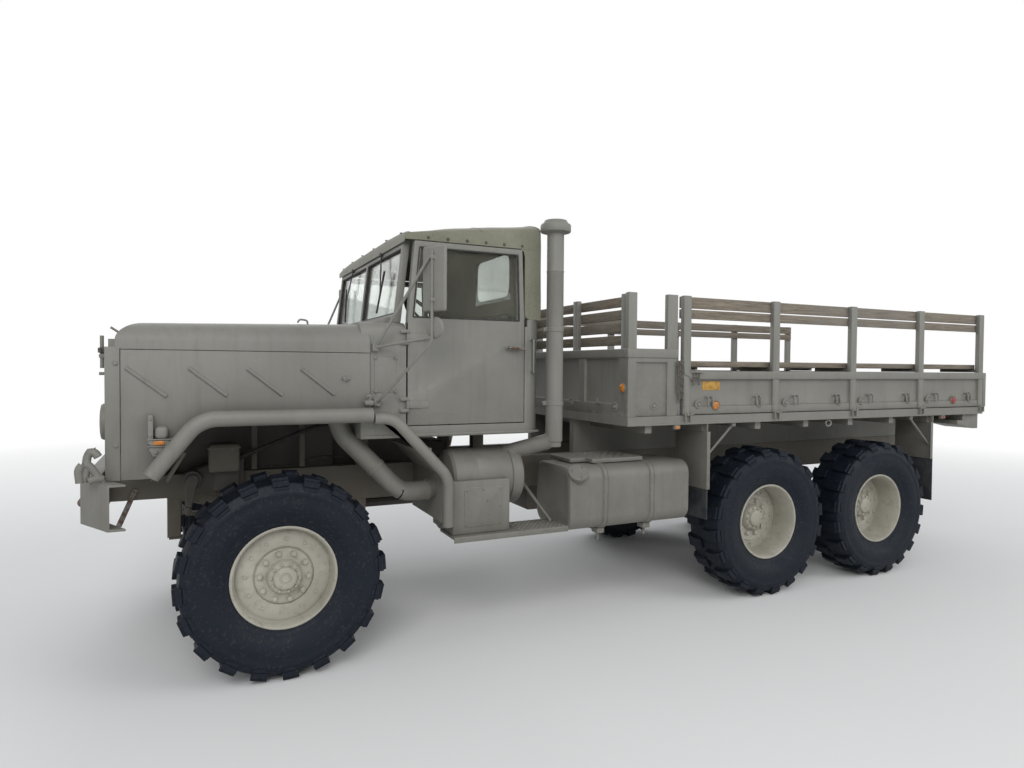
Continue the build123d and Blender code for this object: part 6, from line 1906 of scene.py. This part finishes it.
# The curtain falls from the rear edge, and the quarter pieces from the skirts' rear ends.
picked(
    canopy,
    "VERT",
    lambda place: place.x < canopy_rear + 0.001
    and (place.z > canopy_eave(canopy_rear) - 0.002),
)
curtain_side = (2.797, 2.722, 2.623, 2.524, 2.425, 2.325, 2.226)
for row in range(len(curtain_side)):
    bpy.ops.mesh.extrude_region_move(TRANSFORM_OT_translate={"value": (0, 0, -1.0)})
bpy.ops.object.mode_set(mode="OBJECT")
eave_rear = canopy_eave(canopy_rear)
for point in canopy.data.vertices:
    row = 0
    while point.co.z + row < 2.0:
        row += 1
    if row > 0:
        top = point.co.z + row
        if top < 2.80:
            row, top = row + 1, top + 1
        share = (eave_rear - curtain_side[row - 1]) / (eave_rear - curtain_side[-1])
        ripple = 0.003 * math.sin(17 * point.co.y + 6 * share) * math.sin(math.pi * share)
        point.co.z = top + (curtain_side[-1] - top) * share
        point.co.x += ripple
for way in (1, -1):
    picked(
        canopy,
        "VERT",
        lambda place: place.x < axle_x - 1.620
        and place.y * way > canopy_half - 0.010
        and abs(place.z - skirt_z) < 0.002,
    )
    for drop in (0.099, 0.099, 0.099, 0.100, 0.099):
        bpy.ops.mesh.extrude_region_move(TRANSFORM_OT_translate={"value": (0, 0, -drop)})
    bpy.ops.object.mode_set(mode="OBJECT")
# The curtain's window opening, which a clear sheet closes.
picked(
    canopy,
    "FACE",
    lambda centre, normal: centre.x < canopy_rear + 0.01
    and -0.14 < centre.y < 0.50
    and 2.45 < centre.z < 2.76,
)
bpy.ops.mesh.delete(type="FACE")
bpy.ops.object.mode_set(mode="OBJECT")
picked(canopy, "VERT", lambda place: True)
bpy.ops.mesh.remove_doubles(threshold=0.006)
bpy.ops.mesh.normals_make_consistent(inside=False)
bpy.ops.object.mode_set(mode="OBJECT")
bpy.ops.object.modifier_add(type="SUBSURF")
canopy.modifiers[-1].levels = 1
canopy.modifiers[-1].render_levels = 1
bpy.ops.object.modifier_apply(modifier=canopy.modifiers[-1].name)
bpy.ops.object.modifier_add(type="SOLIDIFY")
canopy.modifiers[-1].thickness = 0.003
canopy.modifiers[-1].offset = -1
bpy.ops.object.modifier_apply(modifier=canopy.modifiers[-1].name)
bpy.ops.object.shade_smooth_by_angle(angle=math.radians(60))
dressed(canopy, canvas_duck, "chassis")
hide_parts("cab_roof")

# Hems and seams are doubled canvas, sewn down: along the front edge, both skirts, and where the
# curtain joins the top.
welt_pieces = []
for station, lift in ((canopy_front - 0.030, 0.001), (canopy_rear + 0.022, 0.001), (axle_x - 1.290, -0.001)):
    places = [share * canopy_half for share in across_places]
    path = [(station, y, canopy_top(station, y) + lift) for y in places]
    welt_pieces.append(bent_bar("welt", path, 0.0035, 0, 1))
for way in (1, -1):
    path = [(x, way * canopy_half, 2.724) for x in canopy_stations[:-1]]
    welt_pieces.append(bent_bar("welt", path, 0.0038, 0, 1))
    path = [(axle_x - 1.626, way * canopy_half, z) for z in (2.722, 2.600, 2.400, 2.230)]
    welt_pieces.append(bent_bar("welt", path, 0.0035, 0, 1))
welts = dressed(joined("canopy_welts", welt_pieces), canvas_duck, "chassis")
snap_outline = (
    (0.0, -0.001),
    (0.011, -0.001),
    (0.011, 0.002),
    (0.008, 0.004),
    (0.004, 0.0055),
    (0.0, 0.0058),
)
plain_snap = turned("snap", snap_outline, 16)
snap_pieces = []
for y in (-0.94, -0.56, -0.19, 0.19, 0.56, 0.94):
    snap_at = Matrix.Translation((canopy_front - 0.012, y, canopy_top(canopy_front - 0.012, y)))
    snap_pieces.append(copied(plain_snap, "snap", snap_at @ Matrix.Rotation(math.radians(90), 4, "X")))
for way in (1, -1):
    for x in [canopy_front - 0.158 - number * 0.138 for number in range(6)]:
        snap_at = Matrix.Scale(way, 4, (0, 1, 0)) @ Matrix.Translation((x, canopy_half + 0.001, 2.742))
        snap_pieces.append(copied(plain_snap, "snap", snap_at))
bpy.data.objects.remove(plain_snap)
snaps = dressed(joined("canopy_snaps", snap_pieces), oily_iron, "chassis")

# The seats: stuffed cushions in dark green vinyl cloth, piped round their edges, on the cab's
# sheet steel bases.
seat_vinyl, vinyl_shader, vinyl_place = finish_nodes("seat_vinyl", (0.045, 0.052, 0.036), 0.55)
vinyl_worn = ramp(seat_vinyl, noise(seat_vinyl, vinyl_place, 4.0, 7.0, sharp=0.65), 0.40, 0.70)
vinyl_tone = layered(seat_vinyl, vinyl_worn, (0.040, 0.048, 0.033), (0.085, 0.088, 0.066))
seat_vinyl.node_tree.links.new(vinyl_tone, vinyl_shader.inputs["Base Color"])
vinyl_rough = ramp(seat_vinyl, vinyl_worn, 0.0, 1.0, 0.45, 0.7)
seat_vinyl.node_tree.links.new(vinyl_rough, vinyl_shader.inputs["Roughness"])
bumped(seat_vinyl, vinyl_shader, noise(seat_vinyl, vinyl_place, 420.0, 3.0), 0.25, 0.0006)


def stuffed(name, low, high, most):
    """A stuffed cushion inside two opposite corners, its cover blown up as cloth."""
    inner_low = [a + most for a in low]
    inner_high = [b - most for b in high]
    piece = squared(name, inner_low, inner_high, 0.024, 4)
    bpy.ops.object.modifier_add(type="REMESH")
    piece.modifiers[-1].mode = "VOXEL"
    piece.modifiers[-1].voxel_size = 0.014
    bpy.ops.object.modifier_apply(modifier=piece.modifiers[-1].name)
    starts = [point.co.copy() for point in piece.data.vertices]
    bpy.ops.object.modifier_add(type="CLOTH")
    cloth = piece.modifiers[-1]
    cloth.settings.use_pressure = True
    cloth.settings.uniform_pressure_force = 4
    cloth.settings.effector_weights.gravity = 0
    cloth.point_cache.frame_start = 1
    cloth.point_cache.frame_end = 20
    for number in range(1, 21):
        bpy.context.scene.frame_set(number)
    bpy.ops.object.modifier_apply(modifier=cloth.name)
    for point, start in zip(piece.data.vertices, starts):
        move = point.co - start
        if move.length > most:
            point.co = start + move * (most / move.length)
    bpy.ops.object.modifier_add(type="SUBSURF")
    piece.modifiers[-1].levels = 1
    piece.modifiers[-1].render_levels = 1
    bpy.ops.object.modifier_apply(modifier=piece.modifiers[-1].name)
    bpy.ops.object.shade_smooth()
    return piece


back_x = axle_x - 1.673
cushion_count = 0
for y0, y1 in ((0.280, 0.820), (-0.950, -0.060)):
    for low, high in (
        ((back_x + 0.113, y0, 1.781), (back_x + 0.540, y1, 1.890)),
        ((back_x, y0, 1.781), (back_x + 0.111, y1, 2.300)),
    ):
        cushion_count += 1
        pad = stuffed("seat_pad_" + str(cushion_count), low, high, 0.010)
        dressed(pad, seat_vinyl, "chassis")
        flat_way = 2 if high[2] - low[2] < 0.2 else 0
        ring = []
        spans = [axis for axis in range(3) if axis != flat_way]
        for a, b in ((0, 0), (1, 0), (1, 1), (0, 1), (0, 0)):
            spot = [(l + h) / 2 for l, h in zip(low, high)]
            corner = (low, high)
            spot[spans[0]] = corner[a][spans[0]] + (0.012 if a == 0 else -0.012)
            spot[spans[1]] = corner[b][spans[1]] + (0.012 if b == 0 else -0.012)
            ring.append(tuple(spot))
        piping = bent_bar("seat_piping_" + str(cushion_count), ring, 0.0045, 0.030, 2, 4)
        dressed(piping, seat_vinyl, "chassis")
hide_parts("seats")
bases = dressed(from_solid("seat_bases_dressed", "seat_bases", 0.006), tan_paint, "chassis")
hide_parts("seat_bases")

# The dash and the steering gear in the cab: painted sheet with black dials, and a moulded black
# steering wheel with three spokes on its column.
driver_y = 0.560
low = (axle_x - 0.900, -1.016, 1.930)
high = (axle_x - 0.762, 1.016, 2.105)
dash_pieces = [squared("dash_board", low, high, 0.014, 4)]
column_ends = ((axle_x - 0.830, driver_y, 2.010), (axle_x - 1.062, driver_y, 2.205))
dash_pieces.append(bent_bar("column", column_ends, 0.022, 0, 4))
bezel_outline = (
    (0.0, -0.002),
    (0.040, -0.002),
    (0.042, 0.004),
    (0.037, 0.007),
    (0.034, 0.003),
    (0.0, 0.003),
)
bezel = turned("bezel", bezel_outline, 24)
dial_places = [(0.30 + 0.105 * column, z) for column in range(6) for z in (1.985, 2.060)]
dial_turn = Matrix.Rotation(math.radians(90), 4, "Z")
dial_pieces = []
for y, z in dial_places:
    dial_pieces.append(copied(bezel, "dial", Matrix.Translation((axle_x - 0.899, y, z)) @ dial_turn))
bpy.data.objects.remove(bezel)
dash_dressed = dressed(joined("dash_dressed", dash_pieces), tan_paint, "chassis")
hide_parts("dash")
bpy.ops.object.select_all(action="DESELECT")
bpy.ops.mesh.primitive_torus_add(
    location=(0, 0, 0), major_radius=0.234, minor_radius=0.013, major_segments=48, minor_segments=10
)
rim = bpy.context.object
rim.name = "rim"
bpy.ops.object.shade_smooth()
wheel_axis = Vector((-0.240, 0, 0.200)).normalized()
wheel_turn = Vector((0, 0, 1)).rotation_difference(wheel_axis).to_matrix().to_4x4()
wheel_at = Matrix.Translation((axle_x - 1.070, driver_y, 2.210)) @ wheel_turn
wheel_pieces = [copied(rim, "steering_rim", wheel_at)]
bpy.data.objects.remove(rim)
for number in range(3):
    angle = math.radians(90 + 120 * number)
    start = wheel_at @ Vector((0.020 * math.cos(angle), 0.020 * math.sin(angle), -0.012))
    end = wheel_at @ Vector((0.232 * math.cos(angle), 0.232 * math.sin(angle), 0.0))
    wheel_pieces.append(bent_bar("spoke", (tuple(start), tuple(end)), 0.009, 0, 3))
wheel_hub = (tuple(wheel_at @ Vector((0, 0, -0.030))), tuple(wheel_at @ Vector((0, 0, 0.006))))
wheel_pieces.append(bent_bar("wheel_hub", wheel_hub, 0.036, 0, 5))
dressed(joined("steering_wheel", wheel_pieces + dial_pieces), seal_rubber, "chassis")

# The glass: flat panes, clear but filmed with dust that the wipers leave in the corners.
dusty_glass = bpy.data.materials.new("dusty_glass")
dusty_glass.use_nodes = True
glass_nodes = dusty_glass.node_tree.nodes
glass_links = dusty_glass.node_tree.links
glass_nodes.clear()
glass_place = glass_nodes.new("ShaderNodeTexCoord").outputs["Object"]
see_through = glass_nodes.new("ShaderNodeBsdfTransparent")
see_through.inputs["Color"].default_value = (0.93, 0.955, 0.94, 1)
shine = glass_nodes.new("ShaderNodeBsdfGlossy")
shine.inputs["Roughness"].default_value = 0.06
grazing = glass_nodes.new("ShaderNodeLayerWeight")
grazing.inputs["Blend"].default_value = 0.10
clean = glass_nodes.new("ShaderNodeMixShader")
half_share = ramp(dusty_glass, glass_place, 0.0, 1.0, 0.5, 0.5)
shine_share = times(dusty_glass, grazing.outputs["Fresnel"], half_share)
glass_links.new(shine_share, clean.inputs["Fac"])
glass_links.new(see_through.outputs["BSDF"], clean.inputs[1])
glass_links.new(shine.outputs["BSDF"], clean.inputs[2])
dust = glass_nodes.new("ShaderNodeBsdfDiffuse")
dust.inputs["Color"].default_value = (0.33, 0.31, 0.26, 1)
filmed = glass_nodes.new("ShaderNodeMixShader")
film = noise(dusty_glass, glass_place, 3.0, 4.0, stretch=(1, 1, 0.6))
film = ramp(dusty_glass, film, 0.30, 0.75, 0.05, 0.16)
glass_links.new(film, filmed.inputs["Fac"])
glass_links.new(clean.outputs["Shader"], filmed.inputs[1])
glass_links.new(dust.outputs["BSDF"], filmed.inputs[2])
glass_end = glass_nodes.new("ShaderNodeOutputMaterial")
glass_links.new(filmed.outputs["Shader"], glass_end.inputs["Surface"])
repaint(dusty_glass, "windshield_glass", "door_glass_left", "door_glass_right")
low = (canopy_rear + 0.005, -0.14, 2.42)
high = (canopy_rear + 0.007, 0.57, 2.79)
vinyl_window = squared("curtain_window", low, high, 0.0005, 1)
dressed(vinyl_window, dusty_glass, "chassis")

# The running gear: the riveted frame with its crossmembers, the axles and leaf packs with their
# clips, the shafts with their joints, the gear cases and the pintle, all under road dirt.
gear_table = (
    # node, body, material, edge, slot
    ("chassis_frame", "chassis", frame_paint, 0.003, "axle_paint"),
    ("front_axle", "chassis", frame_paint, 0.008, "axle_paint"),
    ("rear_axles", "chassis", frame_paint, 0.008, "axle_paint"),
    ("knuckle_left", "knuckle_left", frame_paint, 0.004, "axle_paint"),
    ("knuckle_right", "knuckle_right", frame_paint, 0.004, "axle_paint"),
    ("tie_rod", "tie_rod", oily_iron, 0.002, "axle_paint"),
    ("steering_box", "chassis", oily_iron, 0.006, "axle_paint"),
    ("engine", "chassis", oily_iron, 0.020, "engine_paint"),
    ("transmission", "chassis", oily_iron, 0.012, "engine_paint"),
    ("radiator", "chassis", oily_iron, 0.006, "engine_paint"),
    ("propshafts", "chassis", oily_iron, 0.003, "axle_paint"),
    ("pintle", "chassis", oily_iron, 0.004, "bare_steel"),
)
for node_name, body, material, edge, slot in gear_table:
    gear = dressed(from_solid(node_name + "_dressed", node_name, edge), material, body)
    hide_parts(node_name)
